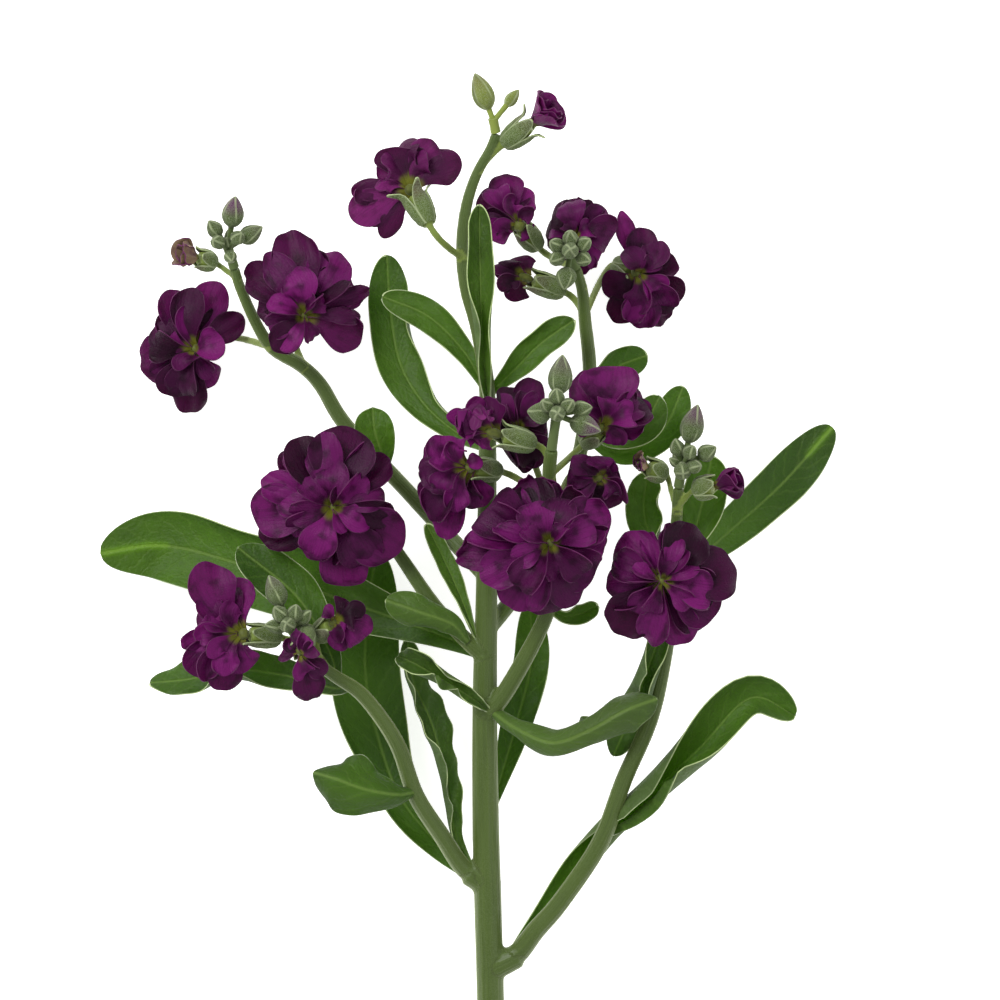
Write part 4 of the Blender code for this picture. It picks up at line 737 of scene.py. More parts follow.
def blank(add, **settings):
    """The mesh of one primitive, with the places of its points, to be copied and shaped."""
    deselect()
    add(location=(0, 0, 0), **settings)
    obj = bpy.context.object
    mesh = obj.data.copy()
    bpy.data.objects.remove(obj, do_unlink=True)
    return mesh, point_places(mesh)


def point_places(mesh):
    flat = np.zeros(len(mesh.vertices) * 3)
    mesh.vertices.foreach_get("co", flat)
    return flat.reshape(-1, 3)


def make_grid(along, across):
    """A flat grid whose points are later moved, with the shares of its points."""
    mesh, flat = blank(bpy.ops.mesh.primitive_grid_add, x_subdivisions=along, y_subdivisions=across,
                       size=2)
    return mesh, (flat[:, 0] + 1) / 2, flat[:, 1]


LEAF_GRID = make_grid(52, 22)
PETAL_GRID = make_grid(18, 14)
SEPAL_GRID = make_grid(10, 6)


def store(mesh, sizes, shares):
    """Stores the two sets of three values a point that the materials read."""
    for label, values in (("sizes", sizes), ("shares", shares)):
        stored = mesh.attributes.new(label, "FLOAT_VECTOR", "POINT")
        stored.data.foreach_set("vector", np.ascontiguousarray(values, dtype=np.float32).ravel())


def new_piece(name, mesh, points, sizes, shares):
    """A mesh object from a copy of a blank: its points in table millimetres, and its attributes."""
    mesh = mesh.copy()
    mesh.vertices.foreach_set("co", ((points - ORIGIN) * MM).ravel())
    store(mesh, sizes, shares)
    mesh.update()
    obj = bpy.data.objects.new(name, mesh)
    scene.collection.objects.link(obj)
    return obj


def edge_distance(points, u, v):
    """Millimetres from each point of a blade to its nearest edge point, the root apart."""
    rim = points[(np.abs(v) > 0.999) | (u > 0.999)]
    return np.array([np.linalg.norm(rim - point, axis=1).min() for point in points])


def blade(name, grid, place, tone):
    """One blade: place(u, v) gives its points and the millimetres along and across it."""
    mesh, u, v = grid
    points, along, across = place(u, v)
    sizes = np.stack([along, across, edge_distance(points, u, v)], axis=1)
    shares = np.stack([u, v, np.full(len(u), tone)], axis=1)
    return new_piece(name, mesh, points, sizes, shares)


def pick(*pieces):
    """Selects these pieces alone and makes the first one active."""
    deselect()
    for piece in pieces:
        piece.select_set(True)
    bpy.context.view_layer.objects.active = pieces[0]


def join(pieces, name):
    """Joins pieces into the first, which keeps its materials."""
    pick(*pieces)
    if len(pieces) > 1:
        bpy.ops.object.join()
    pieces[0].name = name
    pieces[0].data.name = name
    return pieces[0]


def apply_modifier(obj, kind, **settings):
    """Adds a modifier with its settings and applies it."""
    pick(obj)
    modifier = obj.modifiers.new(kind.lower(), kind)
    for name, value in settings.items():
        setattr(modifier, name, value)
    bpy.ops.object.modifier_apply(modifier=modifier.name)


def set_materials(obj, *materials):
    obj.data.materials.clear()
    for material in materials:
        obj.data.materials.append(material)


def thicken(obj, thickness, materials, group=""):
    """Gives blades a wall, and their back and edge the second and third material."""
    set_materials(obj, *materials)
    apply_modifier(obj, "SOLIDIFY", thickness=thickness * MM, offset=0.0, material_offset=1,
                   material_offset_rim=2, vertex_group=group, thickness_vertex_group=THINNEST)


def smooth(obj):
    pick(obj)
    bpy.ops.object.shade_smooth_by_angle(angle=math.radians(50))


def hand_over(obj, cad_node):
    """The piece rides with the object and stands for its solid, which is hidden."""
    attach(obj, "root")
    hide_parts(cad_node)


# %% [markdown]
# The stem is grown from one round tube for each branch and flower stalk. A voxel remesh melts
# the tubes into one skin, as the forks of a living stem are, and a little smoothing takes the
# steps away. The skin then learns how far along and around its nearest branch each point is.
# Four sepals with pale edges wrap each calyx, the green cup under a bloom.

# %% Stem
GAP = 0.32                  # millimetres between the stem and what it carries
CALYX_LENGTH = 9.0
SHUT_CALYX = 0.6            # length of a shut bloom's calyx as a share of that
CALYX_RADIUS = 2.5
STALK_RADIUS = 0.95
SHUT_STALK = 0.8
SEAT = 0.2                  # millimetres between a calyx and the core of its bloom
VOXEL = 0.55                # size of the small cubes that the stem's skin is grown from
SEPAL_WALL = 0.30
CUT_DEPTH = 0.4             # faces this near the cut end that look down belong to the cut
OPEN_CALYX = {"bloom_top_1": 2.6, "bloom_top_2": 1.4, "bloom_mid_right_3": 0.8}   # mm that sepals part
BRANCH_SHIFT = 37.0         # millimetres between the patterns of two branches
SKIN_RADIUS = 2.2           # the radius that turns angles round a branch to millimetres


def stalk_rows(eye, facing, root, radius, form):
    """Flower stalk and calyx in one: a thin arc from the stem that swells below the petals."""
    eye, facing, root = np.array(eye), unit(facing), np.array(root)
    top = eye - facing * SEAT
    if form == "shut":
        base = top - facing * CALYX_LENGTH * SHUT_CALYX
        return [(*root, SHUT_STALK), (*((root + base) / 2), SHUT_STALK), (*base, 0.9),
                (*((base + top) / 2), 0.34 * radius), (*top, 0.28 * radius)]
    base = top - facing * CALYX_LENGTH
    bend = base - facing * min(5.0, 0.45 * np.linalg.norm(base - root))
    rows = []
    for t in (0.0, 0.25, 0.5, 0.75, 1.0):
        rows.append((*(root * (1 - t) ** 2 + bend * 2 * t * (1 - t) + base * t * t), STALK_RADIUS))
    for share, thick in ((0.10, 0.60), (0.25, 0.90), (0.60, 1.0), (1.0, 0.78)):
        rows.append((*(base + (top - base) * share), thick * CALYX_RADIUS))
    return rows


def tube(name, rows, segments=5):
    """A closed round tube along rows of x, y, z and radius."""
    curve = bpy.data.curves.new(name, "CURVE")
    curve.dimensions = "3D"
    curve.bevel_depth = MM
    curve.bevel_resolution = segments
    curve.use_fill_caps = True
    line = curve.splines.new("POLY")
    line.points.add(len(rows) - 1)
    for point, (x, y, z, radius) in zip(line.points, rows):
        point.co = (*((np.array((x, y, z)) - ORIGIN) * MM), 1.0)
        point.radius = radius
    obj = bpy.data.objects.new(name, curve)
    scene.collection.objects.link(obj)
    pick(obj)
    bpy.ops.object.convert(target="MESH")
    return obj


ROUTES = {name: smooth_rows(rows, 5 if len(rows) > 2 else 2) for name, rows in STEMS.items()}
for name, (eye, facing, radius, form, root) in BLOOMS.items():
    ROUTES["stalk_" + name] = smooth_rows(stalk_rows(eye, facing, root, radius, form), 4)
PATHS = [(name, np.array(rows)) for name, rows in ROUTES.items()]


def nearest_on_paths(points):
    """For each point: millimetres along and around its nearest branch, and how pale it is."""
    best = np.full(len(points), 1e9)
    found = np.zeros((len(points), 3))
    for number, (name, rows) in enumerate(PATHS):
        run = 0.0
        for start, end in zip(rows[:-1, :3], rows[1:, :3]):
            way = end - start
            length = np.linalg.norm(way)
            if length < 1e-6:
                continue
            way = way / length
            t = np.clip((points - start) @ way, 0, length)
            off = points - (start + t[:, None] * way)
            away = np.linalg.norm(off, axis=1)
            side, over = sides(way, (0.3, 0.2, 0.93))
            around = np.abs(np.arctan2(off @ over, off @ side)) * SKIN_RADIUS
            closer = away < best
            best[closer] = away[closer]
            pale = np.full(len(t), float(name.startswith("stalk_")))
            found[closer] = np.stack([run + t + number * BRANCH_SHIFT, around, pale], axis=1)[closer]
            run += length
    return found, best


def sepals(name):
    """Four narrow leaves that wrap the calyx, with pointed tips that part under the petals."""
    eye, facing, radius, form, _ = BLOOMS[name]
    draw = random.Random("sepals " + name)
    length = CALYX_LENGTH * (SHUT_CALYX if form == "shut" else 1.0)
    wide = 0.34 * radius if form == "shut" else CALYX_RADIUS
    spread = OPEN_CALYX.get(name, 0.0)
    made = []
    for index in range(4):
        middle = 2 * math.pi * index / 4 + draw.uniform(-0.1, 0.1)
        reach = draw.uniform(1.02, 1.22) + 0.04 * spread
        flare = draw.uniform(0.1, 0.7) + spread

        def place(u, v):
            level = length * (reach * u - 0.94)
            profile = np.interp(u, (0, 0.1, 0.3, 0.6, 0.9, 1.0), (0.55, 0.86, 1.05, 1.08, 0.92, 0.84))
            girth = wide * profile + 0.12
            girth = girth + flare * np.clip((u - 0.8) / 0.2, 0, 1) ** 2
            girth = girth + 0.35 * spread * np.clip((u - 0.2) / 0.8, 0, 1)
            span = 0.80 * (1 - ((u - 0.30) / 0.72).clip(0, 1) ** 1.9) ** 0.8
            angle = middle + span * v
            swell = girth + 0.28 * (1 - v * v)
            return round_axis(eye, unit(facing), level, swell, angle), length * u, wide * span * v

        made.append(blade("sepal", SEPAL_GRID, place, draw.uniform(0.0, 0.7)))
    return made


tubes = [tube(name, rows) for name, rows in ROUTES.items()]
stem = join(tubes, "stem_skin")
apply_modifier(stem, "REMESH", mode="VOXEL", voxel_size=VOXEL * MM)
apply_modifier(stem, "SMOOTH", factor=0.5, iterations=3)
found, away = nearest_on_paths(point_places(stem.data) / MM + ORIGIN)
store(stem.data, np.column_stack([found[:, :2], away]), np.column_stack([away * 0, away * 0, found[:, 2]]))
set_materials(stem, stem_skin, cut_face, sepal_felt)
cut_level = (STEMS["main"][0][1] - ORIGIN[1] + CUT_DEPTH) * MM
for face in stem.data.polygons:
    if face.center.y < cut_level and face.normal.y < -0.8:
        face.material_index = 1
cups = join([piece for name in BLOOMS for piece in sepals(name)], "sepals")
# The sepals' edge walls take the leaves' edge felt, with its painted glow.
thicken(cups, SEPAL_WALL, (sepal_felt, sepal_felt, leaf_rim_felt_and_glow))
stem = join([stem, cups], "stock_stem")
smooth(stem)
hand_over(stem, "stem")
print("stem:", len(stem.data.polygons), "faces")

# %% [markdown]
# Each leaf is one blade along its middle line. Its halves lift or droop from the midrib, its
# edges wave, and the wall is thick at the midrib and thin at the edge. The tip is blunt and
# rounded, and the root narrows to a short stalk.

# %% Leaves
WIDEST = 0.66               # where a leaf is widest, as a share of its length
PETIOLE_SHARE = 0.20        # width at the root as a share of the largest
TIP_CROWDING = 1.35         # how much closer the rows of points stand at the tip
REST_LEVEL = 0.28           # least height of the middle of a blade's wall over the table
LEAF_WALL = 0.75
RIB_WIDTH = 1.1             # millimetres beside the midrib over which the wall thins
VEIN_WAVE = 5.2             # millimetres from one raised field between side veins to the next
# Degrees that the margins of some leaves roll up, or down where negative.
ROLLED = {"leaf_low_right_long": 74, "leaf_stem_right_twisted": -80, "leaf_low_right_hanging": 72,
          "leaf_stem_left_curled": 75, "leaf_low_left_narrow": 66, "leaf_low_left_cup": 25,
          "leaf_top_left_long": 55, "leaf_top_upright": 40, "leaf_low_left_forked": 60,
          "leaf_mid_left_small": -35, "leaf_right_bud_2": 60, "leaf_low_left_broad": 40}


def leaf_width(u):
    """Half width of a leaf as a share of its largest."""
    near = PETIOLE_SHARE + (1 - PETIOLE_SHARE) * np.sin(np.pi / 2 * np.clip(u / WIDEST, 0, 1)) ** 1.3
    far = np.sqrt(np.clip(1 - ((u - WIDEST).clip(0) / (1.0 - WIDEST)) ** 2.3, 0, 1))
    return np.where(u < WIDEST, near, far)


def leaf_place(name, spec, draw):
    rib, width, lifts, (height, waves), turns, _ = spec
    curl = ROLLED.get(name, draw.uniform(10, 34))
    phase, phase_2 = draw.uniform(0, 1), draw.uniform(0, 1)

    def place(u, v):
        u = 1 - (1 - u) ** TIP_CROWDING
        middle, along, length = along_line(rib, u)
        turn = np.radians(turns[0] + (turns[1] - turns[0]) * u)[:, None]
        side = roll(unit(np.cross(along, UP)), along, turn)
        up = np.cross(side, along)
        # The halves lift from the rib, and the margins roll further along part of the leaf.
        lift = np.radians(np.where(v > 0, lifts[1], lifts[0])) * (0.6 + 0.4 * np.abs(v))
        uneven = 0.5 * math.sin(6 * phase)
        side_share = np.where(v > 0, 0.5 + uneven, 0.5 - uneven)
        rolls = np.sin(np.pi * np.clip(1.2 * u - 0.1, 0, 1)) * (0.6 + 0.4 * wave(1.7 * u + phase_2))
        lift = lift + math.radians(curl) * np.abs(v) ** 3 * (0.35 + side_share) * rolls
        # Waves along the edge, low fields between the side veins, and the groove of the midrib.
        share = leaf_width(u)
        reach = width / 2 * share * np.abs(v)
        raised = width / 2 * share * (np.sqrt(v * v + 0.01) - 0.1)
        ripple = height * v * v * wave(waves * u + 0.27 * v) * share
        ripple = ripple + 0.75 * height * np.abs(v) ** 3 * share * wave(
            2.7 * waves * u + phase * np.sign(v) + phase_2)
        quilt = 0.12 * wave((u * length - 1.15 * reach) / VEIN_WAVE) * np.abs(v) * (1 - v * v)
        groove = -0.30 * np.exp(-(reach / 0.7) ** 2)
        across = np.copysign(reach * np.cos(lift), v)
        off = raised * np.sin(lift) + ripple + quilt + groove
        points = middle + side * across[:, None] + up * off[:, None]
        points[:, 2] = np.maximum(points[:, 2], REST_LEVEL)
        return points, u * length, np.copysign(reach, v)

    return place


for name, spec in LEAVES.items():
    draw = random.Random("leaf " + name)
    leaf = blade("made_" + name, LEAF_GRID, leaf_place(name, spec, draw), spec[5])
    leaf.data.flip_normals()
    ribs = leaf.vertex_groups.new(name="rib")
    carried = np.zeros(len(leaf.data.vertices) * 3, np.float32)
    leaf.data.attributes["sizes"].data.foreach_get("vector", carried)
    for index, (_, across, _) in enumerate(carried.reshape(-1, 3)):
        ribs.add([index], math.exp(-(float(across) / RIB_WIDTH) ** 2), "REPLACE")
    thicken(leaf, LEAF_WALL, (leaf_top, leaf_under, leaf_rim_felt_and_glow), "rib")
    smooth(leaf)
    hand_over(leaf, name)
print(len(LEAVES), "leaves made")

# %% [markdown]
# A double bloom is layers of petals on long claws. Every petal is the same blank, bent outwards
# along its length, cupped across, twisted and ruffled by its own draw. Soft planes between
# neighbouring blooms bend petals aside, as crowded flowers do, and petals also give way to
# stems and buds that pass through the bloom.

# %% Blooms
SEED = 11
CROWD_RANGE = 1.15          # blooms nearer than this times their two radii share a plane
CROWD_MARGIN = 0.62         # millimetres that a petal keeps from the plane to its neighbours
CROWD_REACH = 3.0           # millimetres over which it bends to do so
RUN_MARGIN = 0.3            # millimetres that a petal keeps from stems and buds
PETAL_WALL = 0.28
BUD_STEM = 1.3              # radius of the short stem that carries a bud cluster
CLAW_START = 0.7            # millimetres from the bloom's axis to the foot of a petal
STEPS = np.linspace(0, 1, 41)
# How round the tip is, the claw's share of the width, where the petal is widest, and how evenly
# it gets there: for petals in layers, and for petals that reach to a given tip.
LAYER_OUTLINE = (0.26, 0.13, 0.72, 1.6)
LINED_OUTLINE = (0.24, 0.16, 0.70, 2.0)


def petal_form(u, v, length, half_width, traits, ruffles, outline):
    """For each point of a petal: its share of the length, its height off the blade, and across."""
    cup, tilt, ruffle, phase, notch = traits
    _, flutes, flute_phase, flute_height = ruffles
    rounding, claw, widest, swell = outline
    t = u * (1 - rounding * v * v - notch * (1 - v * v))
    wide = half_width * (claw + (1 - claw) * np.sin(np.pi / 2 * np.clip(t / widest, 0, 1)) ** swell)
    off = cup * wide * v ** 2 + tilt * wide * v
    off = off + ruffle * length * v * t * wave(1.1 * t + phase)
    off = off + flute_height * length * u ** 3 * wave(flutes * v + flute_phase)
    off = off + 0.4 * flute_height * length * v ** 4 * wave(2.2 * t + flute_phase)
    return t, off, wide * v * (1 - 0.13 * u ** 8 * v ** 4)


def petal_place(turn, rises, length, half_width, traits, ruffles):
    """The middle surface of one petal in its bloom's frame, whose axis is z."""
    start, stop = (math.radians(angle) for angle in rises)
    rise_at = start + (stop - start) * STEPS + ruffles[0] * STEPS ** 4
    mean = (rise_at[1:] + rise_at[:-1]) / 2
    out_at = CLAW_START + length * np.concatenate([[0], np.cumsum(np.sin(mean))]) / len(mean)
    up_at = length * np.concatenate([[0], np.cumsum(np.cos(mean))]) / len(mean)

    def place(u, v):
        t, off, across = petal_form(u, v, length, half_width, traits, ruffles, LAYER_OUTLINE)
        rise = np.interp(t, STEPS, rise_at)
        out = np.interp(t, STEPS, out_at) - off * np.cos(rise)
        up = np.interp(t, STEPS, up_at) + off * np.sin(rise)
        points = np.stack([out * math.cos(turn) - across * math.sin(turn),
                           out * math.sin(turn) + across * math.cos(turn), up], axis=1)
        return points, t * length, across

    return place


def heart(eye, facing, radius):
    """The middle of a bloom's bulk, a little in front of its eye."""
    return np.array(eye) + unit(facing) * 0.3 * radius


def shared_planes(name):
    """Planes between a bloom and its neighbours, each with its normal towards this bloom."""
    radius = BLOOMS[name][2]
    planes = []
    for other, row in BLOOMS.items():
        other_heart, both = heart(*row[:3]), radius + row[2]
        apart = heart(*BLOOMS[name][:3]) - other_heart
        distance = np.linalg.norm(apart)
        if other != name and distance < CROWD_RANGE * both:
            planes.append((other_heart + apart * row[2] / both, apart / distance))
    return planes


def bud_lines():
    """The straight runs that buds and their stalks take, with their radius."""
    runs = []
    for branch, hub, buds in BUDS.values():
        runs.append((np.array(STEMS[branch][-1][:3]), np.array(hub), BUD_STEM))
        for tip, length, radius, _ in buds:
            base = np.array(tip) + unit(np.array(hub) - np.array(tip)) * length
            runs.append((np.array(hub), base, 0.8))
            runs.append((base, np.array(tip), 0.85 * radius))
    return runs


BUD_RUNS = bud_lines()


def runs_near(name):
    """Stems and buds that pass near a bloom, its own stalk apart."""
    eye, _, radius = BLOOMS[name][:3]
    runs = list(BUD_RUNS)
    for path, rows in PATHS:
        if path != "stalk_" + name:
            runs += [(a[:3], b[:3], max(a[3], b[3])) for a, b in zip(rows[:-1], rows[1:])]
    return [run for run in runs
            if np.linalg.norm((run[0] + run[1]) / 2 - np.array(eye)) < 1.2 * radius + 4.0]


def give_way(points, planes, inward, runs):
    """Bends a petal smoothly away from its neighbours, the stems, the buds and the surface."""
    for on_plane, normal in planes + planes:
        clear = (points - on_plane) @ normal - CROWD_MARGIN - inward
        push = CROWD_REACH * np.exp(np.minimum(clear, CROWD_REACH) / CROWD_REACH - 1) - clear
        points = points + normal * np.where(clear < CROWD_REACH, push, 0.0)[:, None]
    for start, end, thick in runs:
        way = end - start
        t = np.clip((points - start) @ way / max(way @ way, 1e-9), 0, 1)
        off = points - (start + t[:, None] * way)
        away = np.maximum(np.linalg.norm(off, axis=1), 1e-6)
        clear = away - thick - RUN_MARGIN
        push = np.exp(np.minimum(clear, 1.0) - 1.0) - clear
        points = points + off / away[:, None] * np.where(clear < 1.0, push, 0.0)[:, None]
    points[:, 2] = np.maximum(points[:, 2], REST_LEVEL)
    return points


def bloom_frame(facing):
    """The bloom's side, top and axis directions as columns."""
    return np.array(Vector(facing).normalized().to_track_quat("Z", "Y").to_matrix())


def lined_petal(eye, facing, level, row, traits, ruffles):
    """The middle surface of a petal from a bloom's eye to the tip that its row gives."""
    tip_x, tip_y, rise, width, arch, twist = row
    tip = np.array((tip_x, tip_y, eye[2] + rise))
    foot = eye + facing * level
    start = foot + unit(tip - foot) * CLAW_START
    bend = (start + tip) / 2 + facing * 2 * arch
    look = UP if facing[2] > 0 else -UP
    length = np.linalg.norm(tip - start)

    def place(u, v):
        t, off, across = petal_form(u, v, length, width / 2, traits, ruffles, LINED_OUTLINE)
        off = off + 0.07 * ruffles[0] * length * u ** 6
        s = t[:, None]
        middle = start * (1 - s) ** 2 + bend * 2 * s * (1 - s) + tip * s * s
        along = unit((bend - start) * (1 - s) + (tip - bend) * s)
        side = roll(unit(np.cross(look, along)), along, math.radians(twist))
        points = middle + side * across[:, None] + np.cross(along, side) * off[:, None]
        return points, t * length, across

    return place


def between(name, draw):
    """Rows for petals that stand between two neighbours of a bloom, a little shorter than both."""
    eye = np.array(BLOOMS[name][0])
    rows = sorted(PETALS.get(name, ()), key=lambda row: math.atan2(row[1] - eye[1], row[0] - eye[0]))
    made = []
    for index, (first, second) in enumerate(zip(rows, rows[1:] + rows[:1])):
        ways = [np.array((row[0] - eye[0], row[1] - eye[1])) for row in (first, second)]
        reach = [np.linalg.norm(way) for way in ways]
        if ways[0] @ ways[1] < -0.2 * reach[0] * reach[1]:
            continue
        way = unit(ways[0] / reach[0] + ways[1] / reach[1]) * min(reach) * draw.uniform(0.84, 1.0)
        rise = (first[2] + second[2]) / 2 + (1.6 if index % 2 else -1.4)
        width = 0.9 * min(first[3], second[3]) * draw.uniform(0.9, 1.1)
        made.append((eye[0] + way[0], eye[1] + way[1], rise, width, 2.0 + index % 2, draw.uniform(-22, 22)))
    return made


def traced_shapes(name, number):
    """Every petal of an open bloom: its surface, how far it keeps in, and how light it is."""
    eye, facing, radius, form, _ = BLOOMS[name]
    eye, facing = np.array(eye), unit(facing)
    solid, extra = random.Random(SEED + number), random.Random("between " + name)
    inner = [(eye[0] + x, eye[1] + y, *rest) for x, y, *rest in INNER.get(name, ())]
    shapes = []
    for kind, rows in (("outer", PETALS[name]), ("between", between(name, extra)), ("inner", inner)):
        for index, row in enumerate(rows):
            ruffles = draws(extra, (-1.0, 1.0), (0.6, 1.5), (0, 1), (0.015, 0.04))
            tone = extra.uniform(0.0, 1.0) ** 1.6
            if kind == "outer":
                traits = draws(solid, (-0.05, 0.22), (-0.12, 0.12), (0.03, 0.09), (0, 1), (0, 0.06))
            else:
                traits = draws(extra, (0, 0.5), (-0.25, 0.25), (0.04, 0.14), (0, 1), (0, 0.10))
                tone = min(1.0, tone + (0.35 if kind == "inner" else 0.0))
            level = min(3.0, max(0.5, 1.7 + 0.4 * row[2]), 1.5 * radius * CORES[form][1])
            shapes.append((lined_petal(eye, facing, level, row, traits, ruffles), 0.4 * (index % 3), tone))
    return shapes


def stand(shape, eye, turned, level):
    """Puts a petal that was shaped in its bloom's frame at its level over the eye."""
    def place(u, v):
        local, along, across = shape(u, v)
        local[:, 2] += level
        return local @ turned.T + np.array(eye), along, across

    return place


def layered_shapes(name, number):
    """The same for a half-open or shut bloom, whose petals stand in layers round its axis."""
    eye, facing, radius, form, _ = BLOOMS[name]
    draw, more = random.Random(SEED + number), random.Random("ruffles " + name)
    shapes = []
    for extra, layers in ((0.0, FORMS[form]), (0.5, FILLERS[form])):
        for layer, (count, claw, tip, length, half_width) in enumerate(layers):
            for index in range(count):
                turn = 2 * math.pi * (index + extra + 0.37 * layer + draw.uniform(-0.10, 0.10)) / count
                size = radius * length * draw.uniform(0.92, 1.06)
                rises = (claw + draw.uniform(-5, 5), tip + draw.uniform(-9, 9))
                traits = draws(draw, (0.05, 0.22), (0.10, 0.24), (0.05, 0.11), (0, 1), (0, 0.06))
                ruffles = draws(more, (-0.1, 0.5), (0.7, 1.7), (0, 1), (0.02, 0.05))
                shape = petal_place(turn, rises, size, radius * half_width, traits, ruffles)
                shape = stand(shape, eye, bloom_frame(facing), 0.6 + (layer + extra) * 0.035 * radius)
                inward = 0.8 * (layer + extra) + 0.5 * (index % 2)
                shapes.append((shape, inward, more.uniform(0.0, 1.0)))
    return shapes


# How much lighter or darker than the rest some blooms are, as a share of the petals' tone.
LIGHTER = {"bloom_low_left_1": 0.30, "bloom_mid_right_2": 0.20, "bloom_mid_right_3": 0.15,
           "bloom_top_2": 0.30, "bloom_mid_right_1": -0.12, "bloom_mid_right_5": -0.20,
           "bloom_mid_right_6": -0.25}
OPEN_CORE, CLOSED_CORE = 0.72, 0.5      # sizes of the finer cores, as shares of the solids' cores
CORE_BALL = blank(bpy.ops.mesh.primitive_uv_sphere_add, segments=14, ring_count=9, radius=1.0)


def core_ball(name):
    """The lumpy little cushion at the eye that the petals grow from."""
    eye, facing, radius, form, _ = BLOOMS[name]
    shrunk = CLOSED_CORE if form in FORMS else OPEN_CORE
    wide, high = (shrunk * radius * share for share in CORES[form])
    mesh, ball = CORE_BALL
    x, y, z = ball.T
    lumps = 1 + 0.12 * np.sin(5 * x + 3) * np.cos(4 * y)
    local = np.stack([x * wide * lumps, y * wide * lumps, (z + 1) * high + SEAT], axis=1)
    core = new_piece("core", mesh, local @ bloom_frame(facing).T + np.array(eye), ball * 0, ball * 0)
    set_materials(core, core_skin)
    return core


def make_bloom(name, number):
    planes, runs = shared_planes(name), runs_near(name)
    made = []
    for shape, inward, tone in (traced_shapes if name in PETALS else layered_shapes)(name, number):
        def place(u, v):
            points, along, across = shape(u, v)
            return give_way(points, planes, inward, runs), along, across

        tone = max(0.0, min(1.0, tone + LIGHTER.get(name, 0.0)))
        made.append(blade("petal", PETAL_GRID, place, tone))
    flower = join(made, "made_" + name)
    skins = (dry_top, dry_back) if name in WITHERED else (petal_top, petal_back)
    thicken(flower, PETAL_WALL, (*skins, petal_rim))
    flower.data.materials.append(core_skin)
    flower = join([flower, core_ball(name)], "made_" + name)
    smooth(flower)
    hand_over(flower, name)
    return flower


total = 0
for number, name in enumerate(BLOOMS):
    total += len(make_bloom(name, number).data.polygons)
print(len(BLOOMS), "blooms,", total, "faces")

# %% [markdown]
# A bud is four felted sepals closed to a pointed egg. It starts as a ball, is drawn out along
# its axis and grooved where two sepals meet, and the groove has the pale edge of the felt. The
# smallest buds crowd the middle of each cluster.

# %% Bud clusters
BUD_STALK = 0.75
BUD_BALL = blank(bpy.ops.mesh.primitive_uv_sphere_add, segments=20, ring_count=12, radius=1.0)
HEART_BUDS = 7              # small buds in the middle of a large cluster


def bud_body(base, tip, radius, tone, draw):
    """One egg-shaped bud from its base to its tip."""
    mesh, ball = BUD_BALL
    share = (ball[:, 2] + 1) / 2
    angle = np.arctan2(ball[:, 1], ball[:, 0])
    twist = draw.uniform(0, math.pi)
    groove = np.abs(np.mod((angle + twist + 0.5 * share) / (math.pi / 2), 1.0) - 0.5) * 2
    girth = radius * np.sin(np.pi * share ** 0.82) ** 0.72 * (0.80 + 0.20 * (1 - share))
    girth = girth * (1 - 0.13 * groove ** 6) * 1.02
    run = np.array(tip) - np.array(base)
    length = np.linalg.norm(run)
    points = round_axis(base, unit(run), share * length, girth, angle)
    edge = (1 - groove) * girth * math.pi / 4
    sizes = np.stack([share * length, angle * radius, edge], axis=1)
    shares = np.stack([share, angle / math.pi, np.full(len(share), tone)], axis=1)
    return new_piece("bud", mesh, points, sizes, shares)


def bud_stalk(start, end, radius):
    """A short felted stalk, with the same attributes as a bud."""
    start, end = np.array(start), np.array(end)
    rows = [(*start, radius), (*((start + end) / 2), radius * 0.92), (*end, radius)]
    obj = tube("bud_stalk", rows, 3)
    count = (len(obj.data.vertices), 1)
    store(obj.data, np.tile((2.0, 1.0, 2.0), count), np.tile((0.1, 0.0, 0.0), count))
    return obj


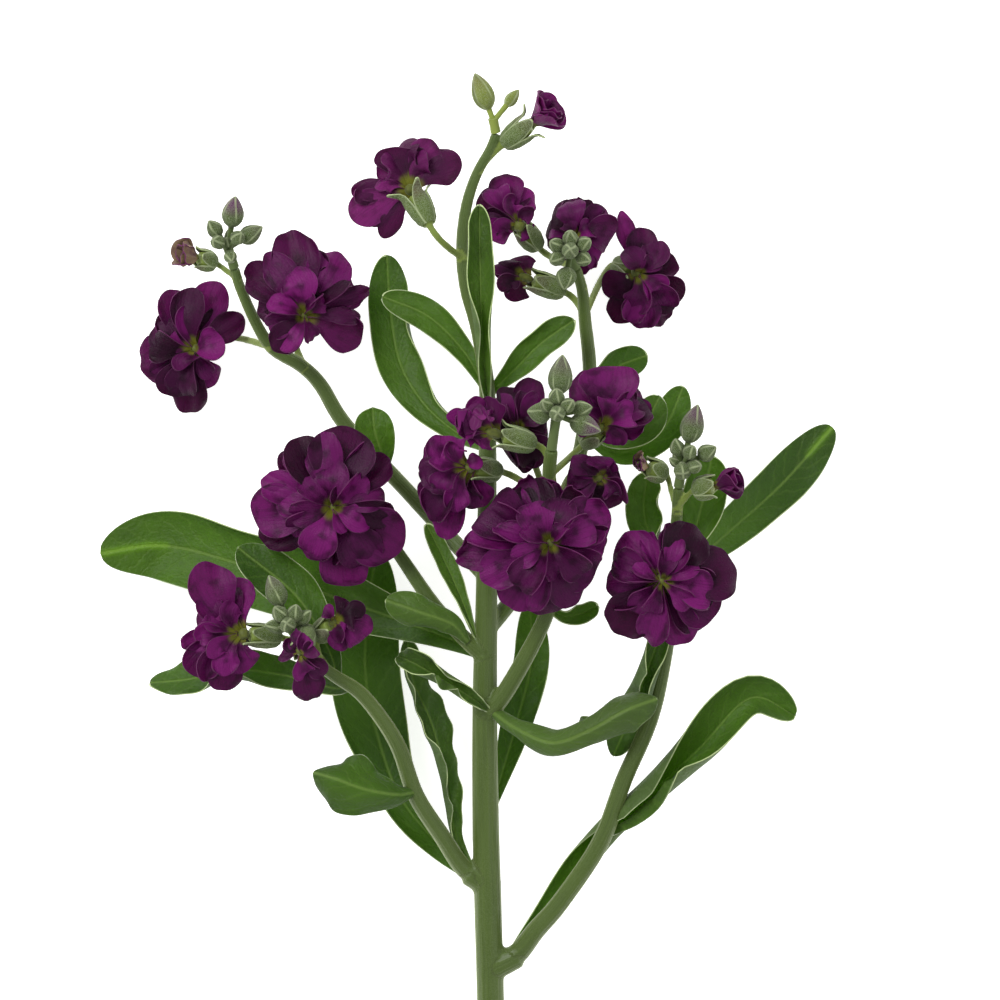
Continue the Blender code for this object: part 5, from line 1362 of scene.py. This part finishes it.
for name, (branch, hub, buds) in BUDS.items():
    draw = random.Random("buds " + name)
    hub = np.array(hub)
    end = np.array(STEMS[branch][-1][:3])
    way = unit(hub - end)
    side, over = sides(way)
    pieces = [bud_stalk(end + way * GAP, hub + way * 0.8, BUD_STEM)]
    for tip, length, radius, tone in buds:
        outwards = unit(np.array(tip) - hub)
        base = np.array(tip) - outwards * length
        pieces.append(bud_stalk(hub, base + outwards * 0.4, BUD_STALK))
        pieces.append(bud_body(base, tip, radius, tone, draw))
    for index in range(HEART_BUDS if len(buds) > 2 else 0):
        turn = 2 * math.pi * index / HEART_BUDS + draw.uniform(-0.3, 0.3)
        lean = draw.uniform(0.5, 1.1)
        outwards = side * math.cos(turn) + over * math.sin(turn)
        toward = unit(way * math.cos(lean) + outwards * math.sin(lean))
        length, radius = draws(draw, (3.2, 4.2), (1.1, 1.4))
        pieces.append(bud_body(hub + toward, hub + toward * (1 + length), radius, 0.0, draw))
    cluster = join(pieces, "made_" + name)
    set_materials(cluster, bud_pale if name == "buds_top" else bud_felt)
    cluster.data.polygons.foreach_set("material_index", [0] * len(cluster.data.polygons))
    smooth(cluster)
    hand_over(cluster, name)
print(len(BUDS), "bud clusters made")

# %% [markdown]
# The table is a sheet of white acrylic lit from below, so light also comes up through the
# leaves. The rest of the light is soft and comes from all round, as in a light tent: a bright
# world, one strong lamp from the upper left and a weaker, larger one from the right.

# %% Table and light
TABLE_GLOW = 0.70
SKY = 0.72
deselect()
bpy.ops.mesh.primitive_plane_add(size=6.0, location=(0.0, 0.0, 0.0))
table = bpy.context.object
table.name = "white_table"
paper = two_tones("lit_white_acrylic", (0.9, 0.0, 0.1), 300.0, 2.0, "#f4f4f3", "#fafaf9")
shader = paper.node_tree.nodes["Principled BSDF"]
shader.inputs["Emission Color"].default_value = colour("#ffffff")
shader.inputs["Emission Strength"].default_value = TABLE_GLOW
set_materials(table, paper)

world = bpy.data.worlds.new("light_tent")
world.use_nodes = True
world.node_tree.nodes["Background"].inputs["Color"].default_value = colour("#ffffff")
world.node_tree.nodes["Background"].inputs["Strength"].default_value = SKY
scene.world = world


def lamp(name, place, target, size, power):
    """A square area lamp that faces its target."""
    deselect()
    bpy.ops.object.light_add(type="AREA", location=place)
    light = bpy.context.object
    light.name = name
    light.rotation_euler = (Vector(target) - Vector(place)).to_track_quat("-Z", "Y").to_euler()
    light.data.size = size
    light.data.energy = power


lamp("soft_box_left", (-0.7, 0.7, 1.1), (0.0, 0.06, 0.0), 0.5, 15.0)
lamp("soft_box_right", (0.9, -0.1, 0.9), (0.0, 0.06, 0.0), 0.9, 3.0)
scene.view_settings.view_transform = "Standard"
print("table and light set")
